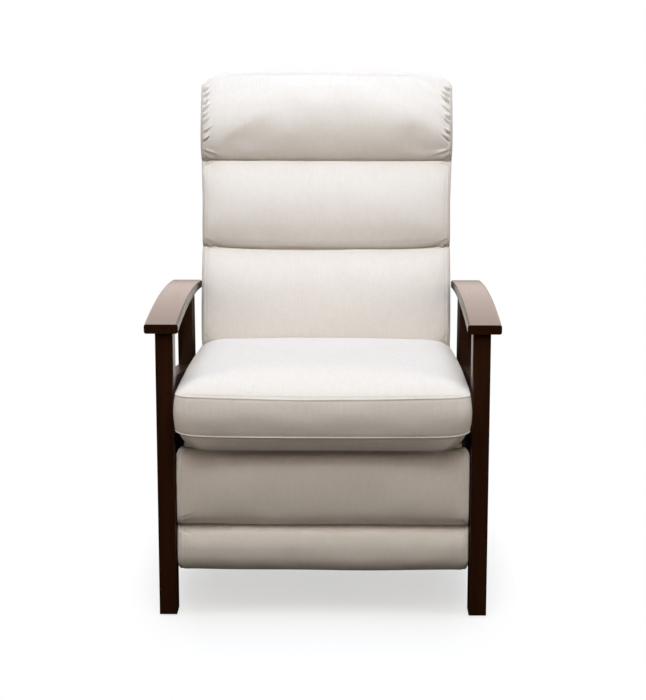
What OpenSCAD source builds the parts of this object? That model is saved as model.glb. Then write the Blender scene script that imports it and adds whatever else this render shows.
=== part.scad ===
// Push-back recliner with open wooden arms, a swinging seat, a reclining back
// and a footrest that folds out from under the seat.
// X runs across the chair, Y to the rear, Z up. The origin is on the floor under
// the middle of the chair. Left and right are as seen from the front.
// Points in the side plane are written [setback, height], where the setback is
// measured to the rear from the front face of the front legs.

/* [Arms] */
// Width over both arms
overall_width = 700; // [660:1:780]
// Width of one arm
arm_width = 67; // [58:1:80]
// Thickness of an arm
arm_thickness = 19; // [15:1:26]
// Length of an arm from front to rear
arm_length = 600; // [570:5:640]
// Height of the crest of an arm
arm_height = 613; // [600:1:650]
// Radius of the arch along an arm
arm_arch_radius = 3100; // [2600:50:4500]
// How far an arm stands out in front of the front leg
arm_overhang = 14; // [6:1:30]
// Setback of the crest of an arm
arm_crest_setback = 250; // [200:5:300]
// Rounding of the long edges of an arm
arm_edge = 5; // [2:0.5:7]

/* [Legs] */
// Width of a leg across the chair
leg_width = 35.5; // [30:0.5:44]
// From the outer edge of the arm to the outer face of the leg
leg_inset = 20; // [12:1:30]
// Depth of a front leg
front_leg_depth = 50; // [46:1:52]
// Depth of a rear leg
rear_leg_depth = 46; // [38:1:54]
// From the arm's rear end to a rear leg's front face
rear_leg_margin = 112; // [90:1:118]
// Rearward rake of a rear leg in degrees
rear_leg_rake = 4; // [2:0.5:6]
// Rounding of the edges of a leg
leg_edge = 3; // [1:0.5:5]
// Radius of a foot glide
glide_radius = 13; // [9:0.5:16]
// Thickness of a foot glide
glide_thickness = 3; // [2:0.5:6]

/* [Rails] */
// Thickness of a side rail
rail_thickness = 30; // [22:1:32]
// Height of a side rail
rail_height = 105; // [90:1:120]
// Height of a side rail's top edge at the front leg
rail_front_top = 485; // [470:1:500]
// Height of a side rail's top edge at the rear leg
rail_rear_top = 422; // [410:1:450]
// Thickness of the rear cross rail
cross_rail_thickness = 22; // [18:1:28]
// Height of the rear cross rail
cross_rail_height = 80; // [60:1:90]
// Height of the rear cross rail's lower edge above the floor
cross_rail_bottom = 200; // [150:5:210]
// Radius of the front cross tube
tube_radius = 7; // [5:0.5:7.5]
// From the seat board's underside down to the front cross tube's axis
tube_drop = 31; // [28:1:34]
// Gap between the front cross tube and the footrest pad
tube_pad_gap = 3; // [1:0.5:5]
// Depth of the tube's socket in a front leg
tube_socket = 8; // [5:1:14]
// Radius of a dowel
dowel_radius = 5; // [3:0.5:6]
// Depth that a dowel reaches into each piece
dowel_grip = 20; // [14:1:24]
// Distance between the two dowels of a joint
dowel_spacing = 24; // [18:1:26]
// Depth that an arm's dowel reaches into the arm
arm_dowel_grip = 11; // [6:0.5:13]

/* [Mechanism] */
// Thickness of the steel plates and links
steel = 3; // [2.5:0.1:3.2]
// Width of a link
link_width = 18; // [15:0.5:19]
// Sideways gap between neighbouring links
layer_gap = 1; // [0.6:0.1:1.2]
// From a leg's inner face to the inner face of a swing link
swing_space = 18.5; // [17:0.5:22]
// From a swing link's inner face to the inner face of a seat plate
link_space = 26; // [24:1:32]
// Setback of the front seat pivot
seat_pivot_setback = 130; // [124:1:136]
// Depth of the seat pivots below the cushion's underside
seat_pivot_drop = 14.3; // [14:0.1:16]
// Distance between the front and rear swing pivots
swing_base = 230; // [215:1:240]
// Length of a swing link between its pivots
swing_length = 90; // [84:1:94]
// Rearward lean of a swing link at rest in degrees
swing_lean = 35; // [32:1:37]
// Setback of the drive shaft
shaft_setback = 165; // [161:1:168]
// Depth of the drive shaft below the cushion's underside
shaft_drop = 79.3; // [77:0.1:82]
// Length of the drive link between the shaft and the carrier pivot
drive_length = 200; // [196:1:204]
// Lean of the drive link from straight down at rest in degrees
drive_lean = 25; // [23:1:27]
// Length of the drive link beyond the carrier pivot
drive_tail = 44; // [41:1:47]
// Length of the carrier link between its pivots
carrier_length = 230.8; // [226:0.2:234]
// Rise of the carrier link in degrees
carrier_rise = 37.7; // [36:0.1:39]
// Length of the carrier link beyond its pivot on the drive link
carrier_tail = 46; // [43:1:49]
// Setback of the back's hinge
back_pivot_setback = 430; // [424:1:436]
// Height of the back's hinge above the cushion's underside
back_pivot_rise = 0.7; // [-2:0.1:3]
// Radius of the drive shaft
shaft_radius = 6; // [5:0.5:7]
// Radius of a swing link's stud
stud_radius = 6; // [5:0.5:6.5]
// Radius of a rivet
rivet_radius = 4; // [3:0.5:5]
// Radius of the carrier rod
rod_radius = 5; // [4:0.5:5.5]
// Radial play of a pin in its link
pin_play = 0.1; // [0.05:0.01:0.1]
// Depth that a base plate reaches up the side rail
plate_overlap = 42; // [34:1:60]
// Radius of a screw
screw_radius = 2.5; // [2:0.25:3.5]
// Length of a screw in the wood
screw_length = 18; // [12:1:20]

/* [Return springs] */
// Radius of the spring wire
wire_radius = 1.25; // [1:0.05:1.3]
// Mean radius of the coil
coil_radius = 12; // [10:0.5:13]
// Whole turns of the coil
coil_turns = 3; // [2:1:3]
// Length of a spring's straight tail
coil_tail = 30; // [20:1:36]

/* [Seat frame] */
// Thickness of a seat rail
seat_rail_thickness = 22; // [18:1:26]
// Height of a seat rail
seat_rail_height = 20; // [16:1:20]
// Thickness of the seat deck and the front board
deck_thickness = 9.8; // [8:0.2:12]
// Setback of the front board's covered edge
front_board_setback = 2; // [0:1:8]
// From a leg's inner face to the front board's end
front_board_gap = 17.5; // [15:0.5:30]
// Setback of the front seat rail
front_rail_setback = 53; // [50:1:60]
// How far the seat frame's rear end lies behind the back's hinge
seat_frame_reach = 10; // [4:1:12]
// Number of sinuous springs
seat_spring_count = 3; // [2:1:4]
// Radius of a sinuous spring's wire
seat_wire_radius = 1.9; // [1.5:0.1:2.2]
// Sideways swing of a sinuous spring
seat_spring_swing = 24; // [18:1:28]
// Whole waves along a sinuous spring
seat_spring_waves = 6; // [5:1:7]

/* [Seat cushion] */
// Gap between the cushion and a front leg
cushion_side_gap = 1.5; // [1:0.5:12]
// How much narrower the cushion is at the rear, each side
cushion_taper = 14; // [4:1:20]
// How far the cushion stands out in front of the legs
cushion_overhang = 60; // [50:1:70]
// Height of the cushion's underside
cushion_bottom = 359.3; // [359.3:0.1:361]
// Height of the lower seam above the underside
lower_seam = 27.7; // [24:0.1:34]
// Height of the upper seam above the underside
upper_seam = 101; // [92:1:108]
// Height that the crown rises above the upper seam
cushion_crown = 36; // [24:1:44]
// How far the band draws in at its seams, and its ends between their corners
cushion_draw = 4; // [2:0.5:6]
// How far the lower front edge tucks under
cushion_tuck = 30; // [22:1:34]
// How much higher the upper seam lies at the middle of the rear
cushion_lift = 20; // [0:1:22]
// How much higher the upper seam lies at the front corners than between them
cushion_arch = 7; // [0:0.5:10]
// Gap between the seat cushion and the back
cushion_gap = 1.5; // [0.5:0.1:4]

/* [Back] */
// Lean of the back at rest in degrees
back_lean = 16; // [14:0.5:18]
// Gap between the back and an arm
back_side_gap = 5.5; // [4:0.5:12]
// How much wider the head is than the rest of the back, each side
head_flare = 5.5; // [0:0.5:8]
// Height along the lean where the back starts to widen
flare_start = 440; // [380:5:460]
// Height along the lean where the head has its full width
flare_end = 560; // [500:5:620]
// Height of the back's top along its lean, from its pivot
back_length = 739; // [720:1:760]
// Height of the back cushion's lower end along its lean
back_start = 92; // [86:1:110]
// Depth of the whole back
back_depth = 124; // [112:1:134]
// Depth of the back's frame and cover behind the cushion
cover_depth = 57; // [50:1:64]
// Thickness of the cover's walls
cover_wall = 4; // [3:0.5:6]
// Heights of the two channel seams along the lean
channel_seams = [333, 533];
// Depth of a channel seam below the channels' crowns
channel_depth = 26; // [16:1:32]
// Width of the rounded top corner
corner_width = 92; // [60:1:110]
// Height of the rounded top corner
corner_height = 38; // [24:1:50]
// Thickness of the back's top and lower rail
back_rail_thickness = 30; // [20:1:40]
// Width of a stile
stile_width = 28; // [24:1:40]
// Height of a back rail
back_rail_height = 56; // [40:1:80]
// Number of webbing straps across the back
strap_count = 6; // [4:1:8]
// Height of a webbing strap
strap_height = 50; // [40:1:60]
// Thickness of a webbing strap
strap_thickness = 2; // [1.5:0.1:2.5]

/* [Footrest] */
// Gap between the footrest pad and a front leg
pad_side_gap = 3; // [2:0.5:10]
// Setback of the pad's front, in front of the legs when below 0
pad_front = -8; // [-10:0.5:-6]
// Thickness of the pad
pad_thickness = 40; // [36:0.5:41]
// Height of the pad's lower edge
pad_bottom = 102; // [100:1:112]
// From the seat board's underside down to the pad's upper edge
pad_drop = 3.2; // [2:0.1:8]
// Height of the channel seam across the pad
pad_seam = 194; // [180:1:210]
// Depth of the channel seam
pad_channel_depth = 14; // [8:0.5:18]
// Thickness of the board behind the pad
board_thickness = 15; // [12:0.5:16]
// Gap between the board's upper edge and the front cross tube
board_tube_gap = 16; // [13:0.5:24]
// How much narrower the board is than the pad, each side
board_inset = 6.5; // [4:0.5:20]
// How much higher the board's lower edge lies than the pad's
board_rise = 10; // [4:1:20]

/* [Hidden] */

$fn = 48;
arch_steps = 720;
joint_gap = 0.1;
fit_gap = 0.05;
soft_gap = 0.3;
head_gap = 0.3;
over = 1;
walnut = [0.20, 0.12, 0.09];
linen = [0.90, 0.87, 0.83];
bare_wood = [0.78, 0.64, 0.46];
dark_steel = [0.22, 0.22, 0.24];
zinc = [0.66, 0.67, 0.68];
dark_felt = [0.16, 0.16, 0.17];

half_width = overall_width / 2;
leg_inner = half_width - leg_inset - leg_width;
leg_middle = leg_inner + leg_width / 2;
arm_middle = half_width - arm_width / 2;
arch_centre = arm_height - arm_arch_radius;
arm_front_angle = asin((arm_crest_setback + arm_overhang) / arm_arch_radius);
arm_rear_angle = asin((arm_length - arm_overhang - arm_crest_setback) / arm_arch_radius);
leg_hinge_height = arm_height - arm_thickness;
rear_leg_setback = arm_length - arm_overhang - rear_leg_margin;
tall = arm_height + 100;

swing_offset = leg_inner - swing_space;
seat_plate_offset = swing_offset - link_space;
cushion_width = 2 * (leg_inner - cushion_side_gap);
back_width = 2 * (half_width - arm_width - back_side_gap);
head_width = back_width + 2 * head_flare;
footrest_width = 2 * (leg_inner - pad_side_gap);
board_width = footrest_width - 2 * board_inset;
front_board_width = 2 * (leg_inner - front_board_gap);

rail_offset = leg_inner + steel;
rail_middle = rail_offset + rail_thickness / 2;
rail_end = rear_leg_setback;
rail_slope = (rail_front_top - rail_rear_top) / (rail_end - front_leg_depth);

swing_step = swing_length * [sin(swing_lean), cos(swing_lean)];
front_seat = [seat_pivot_setback, cushion_bottom - seat_pivot_drop];
rear_seat = front_seat + [swing_base, 0];
front_base = front_seat - swing_step;
rear_base = rear_seat - swing_step;
drive_pivot = [shaft_setback, cushion_bottom - shaft_drop];
back_pivot = [back_pivot_setback, cushion_bottom + back_pivot_rise];
drive_way = [sin(drive_lean), -cos(drive_lean)];
carrier_way = [-cos(carrier_rise), sin(carrier_rise)];
carrier_pivot = drive_pivot + drive_length * drive_way;
control_pivot = drive_pivot + (drive_length + drive_tail) * drive_way;
parallel_foot = carrier_pivot - carrier_tail * carrier_way;
parallel_pivot = drive_pivot - carrier_tail * carrier_way;
footrest_pivot = carrier_pivot + carrier_length * carrier_way;
footrest_guide = footrest_pivot + drive_tail * drive_way;

link_step = steel + layer_gap;
inner_layer = seat_plate_offset + link_step;
middle_layer = inner_layer + link_step;
outer_layer = middle_layer + link_step;
head_height = 2;
head_radius = rivet_radius + 3;
stud_head_radius = stud_radius + 4;
stud_head_height = 2.5;
screw_head_radius = screw_radius + 3.5;
screw_head_height = 2.3;
hub_radius = shaft_radius + 5;

plate_margin = 5;
plate_foot = 15;
plate_screw_setbacks = [95, 190, 280, 400];
plate_screw_rise = 18;
seat_screw_setbacks = [165, 245, 325];
seat_plate_width = 22;
seat_plate_neck = 16;
gusset_reach = 50;
bracket_width = 26;

seat_rail_top = cushion_bottom - soft_gap - deck_thickness - joint_gap;
seat_rail_bottom = seat_rail_top - seat_rail_height;
seat_rail_offset = seat_plate_offset - seat_rail_thickness;
deck_bottom = seat_rail_top + joint_gap;
seat_frame_end = back_pivot.x + seat_frame_reach;
front_rail_end = front_rail_setback + seat_rail_thickness;
rear_rail_start = seat_frame_end - seat_rail_thickness;
seat_wire_height = seat_rail_bottom + seat_rail_height / 2;

cover_start = 59;
cover_end = cover_start + cover_depth;
cushion_corner = 0.1;
side_tuck = 0.7;
lift_fall = 0.85;
rear_tuck = 0.5;
hinge_top = back_pivot.y + bracket_width + 4;
cushion_back = cover_start - soft_gap;
crown_front = cover_end - back_depth;
seam_front = crown_front + channel_depth;
stile_offset = seat_plate_offset + link_step - stile_width - joint_gap;
stile_front = cover_start + strap_thickness + joint_gap;
stile_depth = cover_end - cover_wall - soft_gap - stile_front;
head_roll = 80;
head_roll_share = 0.72;
stile_foot = 72;
cover_foot = 70;
stile_drop = 40;
back_rear_setback = back_pivot.x + cover_end * cos(back_lean) + back_length * sin(back_lean);
middle_setback = (back_rear_setback - cushion_overhang) / 2;

pad_back = pad_front + pad_thickness;
pad_top = deck_bottom - pad_drop;
tube_height = deck_bottom - tube_drop;
tube_setback = pad_back + tube_pad_gap + tube_radius;
board_top = tube_height - tube_radius - board_tube_gap;
board_front = pad_back + soft_gap;
board_back = board_front + board_thickness;
bracket_flange = 20;
bracket_foot = footrest_guide.y - 35;
bracket_head = footrest_pivot.y + 32;
bracket_screw_heights = [bracket_foot + 20, bracket_head - 17];

function rail_top(setback) = rail_front_top - (setback - front_leg_depth) * rail_slope;
function rail_bottom(setback) = rail_top(setback) - rail_height;
function rear_leg_front(height) =
    rear_leg_setback + (leg_hinge_height - height) * tan(rear_leg_rake);
function power(value, exponent) = sign(value) * pow(abs(value), exponent);
function unit(v) = v / norm(v);

// Moves from setbacks to the chair's own Y
module chair() {
    translate([0, -middle_setback, 0]) children();
}

// Mirrors to the left side when side is -1
module on(side) {
    mirror([side < 0 ? 1 : 0, 0, 0]) children();
}

// Makes both sides' copies of a right-hand shape
module both() {
    children();
    mirror([1, 0, 0]) children();
}

// A plate in the side plane, from an outline in [setback, height]
module side_plate(offset, thickness) {
    translate([offset, 0, 0]) rotate([90, 0, 90]) linear_extrude(thickness) children();
}

// A round pin across the chair
module cross_pin(from, to, radius, at) {
    translate([from, at.x, at.y]) rotate([0, 90, 0]) cylinder(r = radius, h = to - from);
}

// A rectangle with round corners about the origin
module rounded(width, height, edge) {
    square([width - 2 * edge, height], center = true);
    square([width, height - 2 * edge], center = true);
    for (x = [-1, 1])
        for (y = [-1, 1])
            translate([x * (width / 2 - edge), y * (height / 2 - edge)]) circle(edge);
}

// The outline of a link from one pivot to another
module bar(from, to, width) {
    reach = to - from;
    translate(from) rotate(atan2(reach.y, reach.x)) {
        circle(d = width);
        translate([norm(reach), 0]) circle(d = width);
        translate([0, -width / 2]) square([norm(reach), width]);
    }
}

// The outline of a round hole at a pivot
module hole(at, radius) {
    translate(at) circle(radius);
}

// A closed solid through rings of points, from its lowest ring to its highest.
// Each ring runs anticlockwise as seen from above.
module ring_solid(rings) {
    count = len(rings[0]);
    last = len(rings) - 1;
    points = [for (ring = rings) each ring];
    foot = len(points);
    middle_low = [for (axis = [0:2]) sum_of([for (p = rings[0]) p[axis]]) / count];
    middle_high = [for (axis = [0:2]) sum_of([for (p = rings[last]) p[axis]]) / count];
    sides = [for (i = [0:last - 1]) for (j = [0:count - 1])
        let (k = (j + 1) % count, a = i * count, b = a + count)
        each [[a + j, b + j, b + k], [a + j, b + k, a + k]]];
    low_cap = [for (j = [0:count - 1]) [foot, j, (j + 1) % count]];
    high_cap = [for (j = [0:count - 1])
        [foot + 1, last * count + (j + 1) % count, last * count + j]];
    polyhedron(points = concat(points, [middle_low, middle_high]),
        faces = concat(sides, low_cap, high_cap), convexity = 6);
}

function sum_of(values, i = 0) = i == len(values) ? 0 : values[i] + sum_of(values, i + 1);

// Rings of a wire swept along a path, kept upright by one direction per point
function wire_rings(path, ups, radius, sides) =
    [for (i = [0:len(path) - 1])
        let (ahead = path[min(i + 1, len(path) - 1)], behind = path[max(i - 1, 0)],
            t = unit(ahead - behind), n = unit(ups[i] - t * (ups[i] * t)), b = cross(t, n))
        [for (j = [0:sides - 1])
            path[i] + radius * (n * cos(360 * j / sides) + b * sin(360 * j / sides))]];

// Least distance between parts of a wire that are at least a given number of rings apart
function least_gap(path, apart, radius) =
    min([for (i = [0:len(path) - 1 - apart]) for (j = [i + apart:len(path) - 1])
        norm(path[i] - path[j])]) - 2 * radius;

// Wooden frame

module arm(side) {
    on(side) difference() {
        translate([arm_middle, arm_crest_setback, arch_centre])
            rotate([0, -90, 0]) rotate([0, 0, -arm_front_angle])
            rotate_extrude(angle = arm_front_angle + arm_rear_angle, $fn = arch_steps)
            translate([arm_arch_radius - arm_thickness / 2, 0])
            rounded(arm_thickness, arm_width, arm_edge);
        arm_dowels(fit_gap, 0.5);
    }
}

// The space below the arched underside of an arm
module under_arm() {
    translate([leg_inner - over, arm_crest_setback, arch_centre]) rotate([0, 90, 0])
        cylinder(r = arm_arch_radius - arm_thickness - joint_gap, h = leg_width + 2 * over,
            $fn = arch_steps);
}

function arch_underside(setback) = arch_centre
    + sqrt(pow(arm_arch_radius - arm_thickness, 2) - pow(setback - arm_crest_setback, 2));

// Upright dowels between the legs and an arm
module arm_dowels(play, spare) {
    for (middle = [front_leg_depth / 2, rear_leg_setback + rear_leg_depth / 2])
        for (step = [-0.5, 0.5])
            let (setback = middle + step * dowel_spacing, top = arch_underside(setback))
            translate([leg_middle, setback, top - dowel_grip - spare])
            cylinder(r = dowel_radius + play, h = dowel_grip + arm_dowel_grip + 2 * spare);
}

// Level dowels between a side rail and the legs
module rail_dowels(play, spare) {
    for (step = [-1, 1])
        for (end = [[front_leg_depth, rail_top(front_leg_depth) - rail_height / 2],
                [rail_end + 12, rail_top(rail_end) - rail_height / 2]])
            translate([rail_middle, end.x - dowel_grip - spare, end.y + step * dowel_spacing])
            rotate([-90, 0, 0])
            cylinder(r = dowel_radius + play, h = 2 * (dowel_grip + spare));
}

// Level dowels between the rear cross rail and a rear leg
module cross_dowels(play, spare) {
    height = cross_rail_bottom + cross_rail_height / 2;
    for (step = [-1, 1])
        let (z = height + step * dowel_spacing)
        cross_pin(leg_inner - dowel_grip - spare, leg_inner + dowel_grip + spare,
            dowel_radius + play, [cross_rail_middle(z), z]);
}

function cross_rail_middle(height) = rear_leg_front(height) + rear_leg_depth / 2;

module front_leg(side) {
    on(side) difference() {
        intersection() {
            translate([leg_middle, front_leg_depth / 2, glide_thickness])
                linear_extrude(tall) rounded(leg_width, front_leg_depth, leg_edge);
            under_arm();
        }
        arm_dowels(fit_gap, 0.5);
        rail_dowels(fit_gap, 0.5);
        cross_pin(leg_inner - over, leg_inner + tube_socket + 0.2, tube_radius + fit_gap,
            [tube_setback, tube_height]);
    }
}

module rear_leg(side) {
    on(side) difference() {
        intersection() {
            translate([leg_middle, rear_leg_setback, leg_hinge_height])
                rotate([rear_leg_rake, 0, 0]) translate([0, rear_leg_depth / 2, -tall])
                linear_extrude(tall + 60) rounded(leg_width, rear_leg_depth, leg_edge);
            under_arm();
            translate([leg_inner - over, 0, glide_thickness]) cube([leg_width + 2 * over, tall, tall]);
        }
        arm_dowels(fit_gap, 0.5);
        rail_dowels(fit_gap, 0.5);
        cross_dowels(fit_gap, 0.5);
    }
}

module side_rail(side) {
    front = front_leg_depth + joint_gap;
    rear_high = rear_leg_front(rail_top(rail_end)) - joint_gap;
    rear_low = rear_leg_front(rail_bottom(rail_end)) - joint_gap;
    on(side) difference() {
        side_plate(rail_offset, rail_thickness)
            polygon([[front, rail_bottom(front)], [rear_low, rail_bottom(rear_low)],
                [rear_high, rail_top(rear_high)], [front, rail_top(front)]]);
        rail_dowels(fit_gap, 0.5);
        plate_screws(fit_gap, 0.5);
    }
}

module cross_rail() {
    low = cross_rail_bottom;
    high = cross_rail_bottom + cross_rail_height;
    half = cross_rail_thickness / 2;
    difference() {
        side_plate(joint_gap - leg_inner, 2 * (leg_inner - joint_gap))
            polygon([[cross_rail_middle(low) - half, low], [cross_rail_middle(low) + half, low],
                [cross_rail_middle(high) + half, high], [cross_rail_middle(high) - half, high]]);
        both() cross_dowels(fit_gap, 0.5);
    }
}

module cross_tube() {
    reach = leg_inner + tube_socket;
    difference() {
        cross_pin(-reach, reach, tube_radius, [tube_setback, tube_height]);
        cross_pin(-reach - over, reach + over, tube_radius - 1.5, [tube_setback, tube_height]);
    }
}

module glides() {
    both() {
        translate([leg_middle, front_leg_depth / 2, 0])
            cylinder(r = glide_radius, h = glide_thickness);
        translate([leg_middle, rear_leg_front(0) + rear_leg_depth / 2, 0])
            cylinder(r = glide_radius, h = glide_thickness);
    }
}

module dowels() {
    both() {
        arm_dowels(0, 0);
        rail_dowels(0, 0);
        cross_dowels(0, 0);
    }
}

// Steel mechanism

// Screws through a base plate into the side rail
module plate_screws(play, spare) {
    for (setback = plate_screw_setbacks)
        cross_pin(leg_inner - 0.1, rail_offset + screw_length + spare, screw_radius + play,
            [setback, rail_bottom(setback) + plate_screw_rise]);
}

module base_plate(side) {
    front = front_leg_depth + plate_margin;
    rear = rail_end - plate_margin;
    on(side) difference() {
        side_plate(leg_inner, steel) difference() {
            polygon([[front, rail_bottom(front) + plate_overlap],
                [rear, rail_bottom(rear) + plate_overlap], [rear, rail_bottom(rear) - plate_margin],
                [rear_base.x + 2 * plate_foot, rear_base.y - plate_foot],
                [front_base.x - plate_foot, front_base.y - plate_foot],
                [front, front_base.y + plate_foot]]);
            hole(front_base, stud_radius + fit_gap);
            hole(rear_base, stud_radius + fit_gap);
        }
        plate_screws(fit_gap, 0.5);
    }
}

module base_screws() {
    both() {
        plate_screws(0, 0);
        for (setback = plate_screw_setbacks)
            cross_pin(leg_inner - screw_head_height, leg_inner, screw_head_radius,
                [setback, rail_bottom(setback) + plate_screw_rise]);
    }
}

// Studs that carry the swing links on the base plates
module base_studs() {
    inner = swing_offset - head_gap;
    both() for (at = [front_base, rear_base]) {
        cross_pin(inner, leg_inner + steel - 0.2, stud_radius, at);
        cross_pin(inner - stud_head_height, inner, stud_head_radius, at);
    }
}

module swing_link(side, low, high) {
    on(side) side_plate(swing_offset, steel) difference() {
        bar(low, high, link_width + 4);
        hole(low, stud_radius + pin_play);
        hole(high, stud_radius + pin_play);
    }
}

// A torsion spring round the front base stud. One tail lies along the swing link
// and the other along the base plate.
function coil_path() =
    let (inner = swing_offset + steel + wire_radius + 0.6, outer = leg_inner - wire_radius - 0.6,
        first = 90 + atan2(swing_step.y, swing_step.x), sweep = 360 * coil_turns + 270 - first,
        steps = round(sweep / 45),
        turns = [for (i = [0:steps]) let (a = first + sweep * i / steps)
            [inner + (outer - inner) * i / steps, front_base.x + coil_radius * cos(a),
                front_base.y + coil_radius * sin(a)]],
        tail = coil_tail * unit(swing_step))
    concat([turns[0] + [0, tail.x, tail.y]], turns, [turns[steps] + [0, coil_tail, 0]]);

module return_spring(side) {
    path = coil_path();
    ups = [for (p = path) [0, p.y - front_base.x, p.z - front_base.y]];
    echo(least_gap_in_return_spring = least_gap([for (i = [1:len(path) - 2]) path[i]], 6,
        wire_radius));
    on(side) ring_solid(wire_rings(path, ups, wire_radius, 6));
}

module seat_plate(side) {
    gusset = [parallel_pivot.x + gusset_reach, front_seat.y];
    on(side) difference() {
        side_plate(seat_plate_offset, steel) difference() {
            union() {
                bar(front_seat, rear_seat, seat_plate_width);
                bar(rear_seat, back_pivot, seat_plate_neck);
                hole(back_pivot, hub_radius);
                bar(front_seat, drive_pivot, seat_plate_width);
                bar(drive_pivot, parallel_pivot, seat_plate_width);
                bar(parallel_pivot, gusset, seat_plate_width);
                polygon([front_seat, drive_pivot, parallel_pivot, gusset]);
            }
            hole(front_seat, stud_radius + fit_gap);
            hole(rear_seat, stud_radius + fit_gap);
            hole(back_pivot, stud_radius + fit_gap);
            hole(parallel_pivot, rivet_radius + fit_gap);
            hole(drive_pivot, shaft_radius + pin_play);
        }
        seat_screw_row(fit_gap, 0.5);
    }
}

// Screws through a seat plate into the side of the seat frame
module seat_screw_row(play, spare) {
    for (setback = seat_screw_setbacks)
        cross_pin(seat_plate_offset - screw_length - spare, seat_plate_offset + steel + 0.1,
            screw_radius + play, [setback, seat_rail_bottom + seat_rail_height / 2]);
}

module seat_screws() {
    both() {
        seat_screw_row(0, 0);
        for (setback = seat_screw_setbacks)
            cross_pin(seat_plate_offset + steel, seat_plate_offset + steel + screw_head_height,
                screw_head_radius, [setback, seat_rail_bottom + seat_rail_height / 2]);
    }
}

// Studs of the seat plates: two carry the seat on the swing links, one carries
// the back, and one carries the parallel link
module seat_studs() {
    inner = seat_plate_offset + 0.2;
    shoulder = swing_offset - head_gap;
    swing_end = swing_offset + steel + head_gap;
    layer_end = inner_layer + steel + head_gap;
    both() {
        for (at = [front_seat, rear_seat]) {
            cross_pin(inner, swing_end + stud_head_height, stud_radius, at);
            cross_pin(seat_plate_offset + steel + 0.1, shoulder, stud_radius + 2, at);
            cross_pin(swing_end, swing_end + stud_head_height, stud_head_radius, at);
        }
        cross_pin(inner, layer_end + stud_head_height, stud_radius, back_pivot);
        cross_pin(layer_end, layer_end + stud_head_height, stud_head_radius, back_pivot);
        cross_pin(inner, layer_end + head_height, rivet_radius, parallel_pivot);
        cross_pin(layer_end, layer_end + head_height, head_radius, parallel_pivot);
    }
}

// A link with a stud of its own through the next link and a head beyond it
module drive_link(side) {
    head = middle_layer + steel + head_gap;
    on(side) {
        side_plate(inner_layer, steel) difference() {
            union() {
                bar(drive_pivot, control_pivot, link_width);
                hole(drive_pivot, hub_radius);
            }
            hole(drive_pivot, shaft_radius + fit_gap);
            hole(carrier_pivot, rod_radius + pin_play);
        }
        cross_pin(inner_layer + steel, head + head_height, rivet_radius, control_pivot);
        cross_pin(head, head + head_height, head_radius, control_pivot);
    }
}

module shaft() {
    cap = inner_layer + steel + head_gap;
    cross_pin(-cap - stud_head_height, cap + stud_head_height, shaft_radius, drive_pivot);
    both() cross_pin(cap, cap + stud_head_height, hub_radius, drive_pivot);
}

module carrier_link(side) {
    head = inner_layer - head_gap;
    on(side) {
        side_plate(middle_layer, steel) difference() {
            bar(parallel_foot, footrest_pivot, link_width);
            hole(carrier_pivot, rod_radius + fit_gap);
            hole(footrest_pivot, rivet_radius + pin_play);
        }
        cross_pin(head - head_height, middle_layer, rivet_radius, parallel_foot);
        cross_pin(head - head_height, head, head_radius, parallel_foot);
    }
}

module carrier_cross_rod() {
    cap = middle_layer + steel + head_gap;
    cross_pin(-cap - head_height, cap + head_height, rod_radius, carrier_pivot);
    both() cross_pin(cap, cap + head_height, rod_radius + 3, carrier_pivot);
}

module parallel_link(side) {
    on(side) side_plate(inner_layer, steel) difference() {
        bar(parallel_foot, parallel_pivot, link_width);
        hole(parallel_foot, rivet_radius + pin_play);
        hole(parallel_pivot, rivet_radius + pin_play);
    }
}

module control_link(side) {
    on(side) side_plate(middle_layer, steel) difference() {
        bar(control_pivot, footrest_guide, link_width);
        hole(control_pivot, rivet_radius + pin_play);
        hole(footrest_guide, rivet_radius + pin_play);
    }
}

module footrest_bracket(side) {
    arm_half = link_width / 2 + 1;
    on(side) difference() {
        union() {
            side_plate(outer_layer, steel) difference() {
                union() {
                    bar(footrest_guide, footrest_pivot, 2 * arm_half);
                    polygon([[board_back, bracket_foot], [board_back, bracket_head],
                        footrest_pivot + [0, arm_half], footrest_guide + [arm_half, 0],
                        footrest_guide - [0, arm_half]]);
                }
                hole(footrest_pivot, rivet_radius + fit_gap);
                hole(footrest_guide, rivet_radius + fit_gap);
            }
            translate([outer_layer, board_back, bracket_foot])
                cube([bracket_flange, steel, bracket_head - bracket_foot]);
        }
        bracket_screws(fit_gap, 0.5);
    }
}

// Screws through a bracket's flange into the board
module bracket_screws(play, spare) {
    for (height = bracket_screw_heights)
        translate([outer_layer + steel + bracket_flange / 2, board_back + steel + 0.1, height])
        rotate([90, 0, 0])
        cylinder(r = screw_radius + play, h = steel + board_thickness * 0.7 + 0.1 + spare);
}

module board_screws() {
    both() {
        bracket_screws(0, 0);
        for (height = bracket_screw_heights)
            translate([outer_layer + steel + bracket_flange / 2, board_back + steel, height])
            rotate([-90, 0, 0])
            cylinder(r = screw_head_radius, h = screw_head_height);
    }
}

module bracket_rivets() {
    inner = middle_layer - head_gap;
    outer = outer_layer + steel;
    both() for (at = [footrest_pivot, footrest_guide]) {
        cross_pin(inner - head_height, outer + head_height, rivet_radius, at);
        cross_pin(inner - head_height, inner, head_radius, at);
        cross_pin(outer, outer + head_height, head_radius, at);
    }
}

// Seat frame and cushion

module seat_side_rail(side) {
    on(side) difference() {
        translate([seat_rail_offset, front_rail_setback, seat_rail_bottom])
            cube([seat_rail_thickness, seat_frame_end - front_rail_setback, seat_rail_height]);
        seat_screw_row(fit_gap, 0.5);
    }
}

module seat_end_rail(setback) {
    reach = seat_rail_offset - joint_gap;
    translate([-reach, setback, seat_rail_bottom])
        cube([2 * reach, seat_rail_thickness, seat_rail_height]);
}

module front_board() {
    translate([-front_board_width / 2, front_board_setback, deck_bottom])
        cube([front_board_width, front_rail_end - front_board_setback, deck_thickness]);
}

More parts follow.
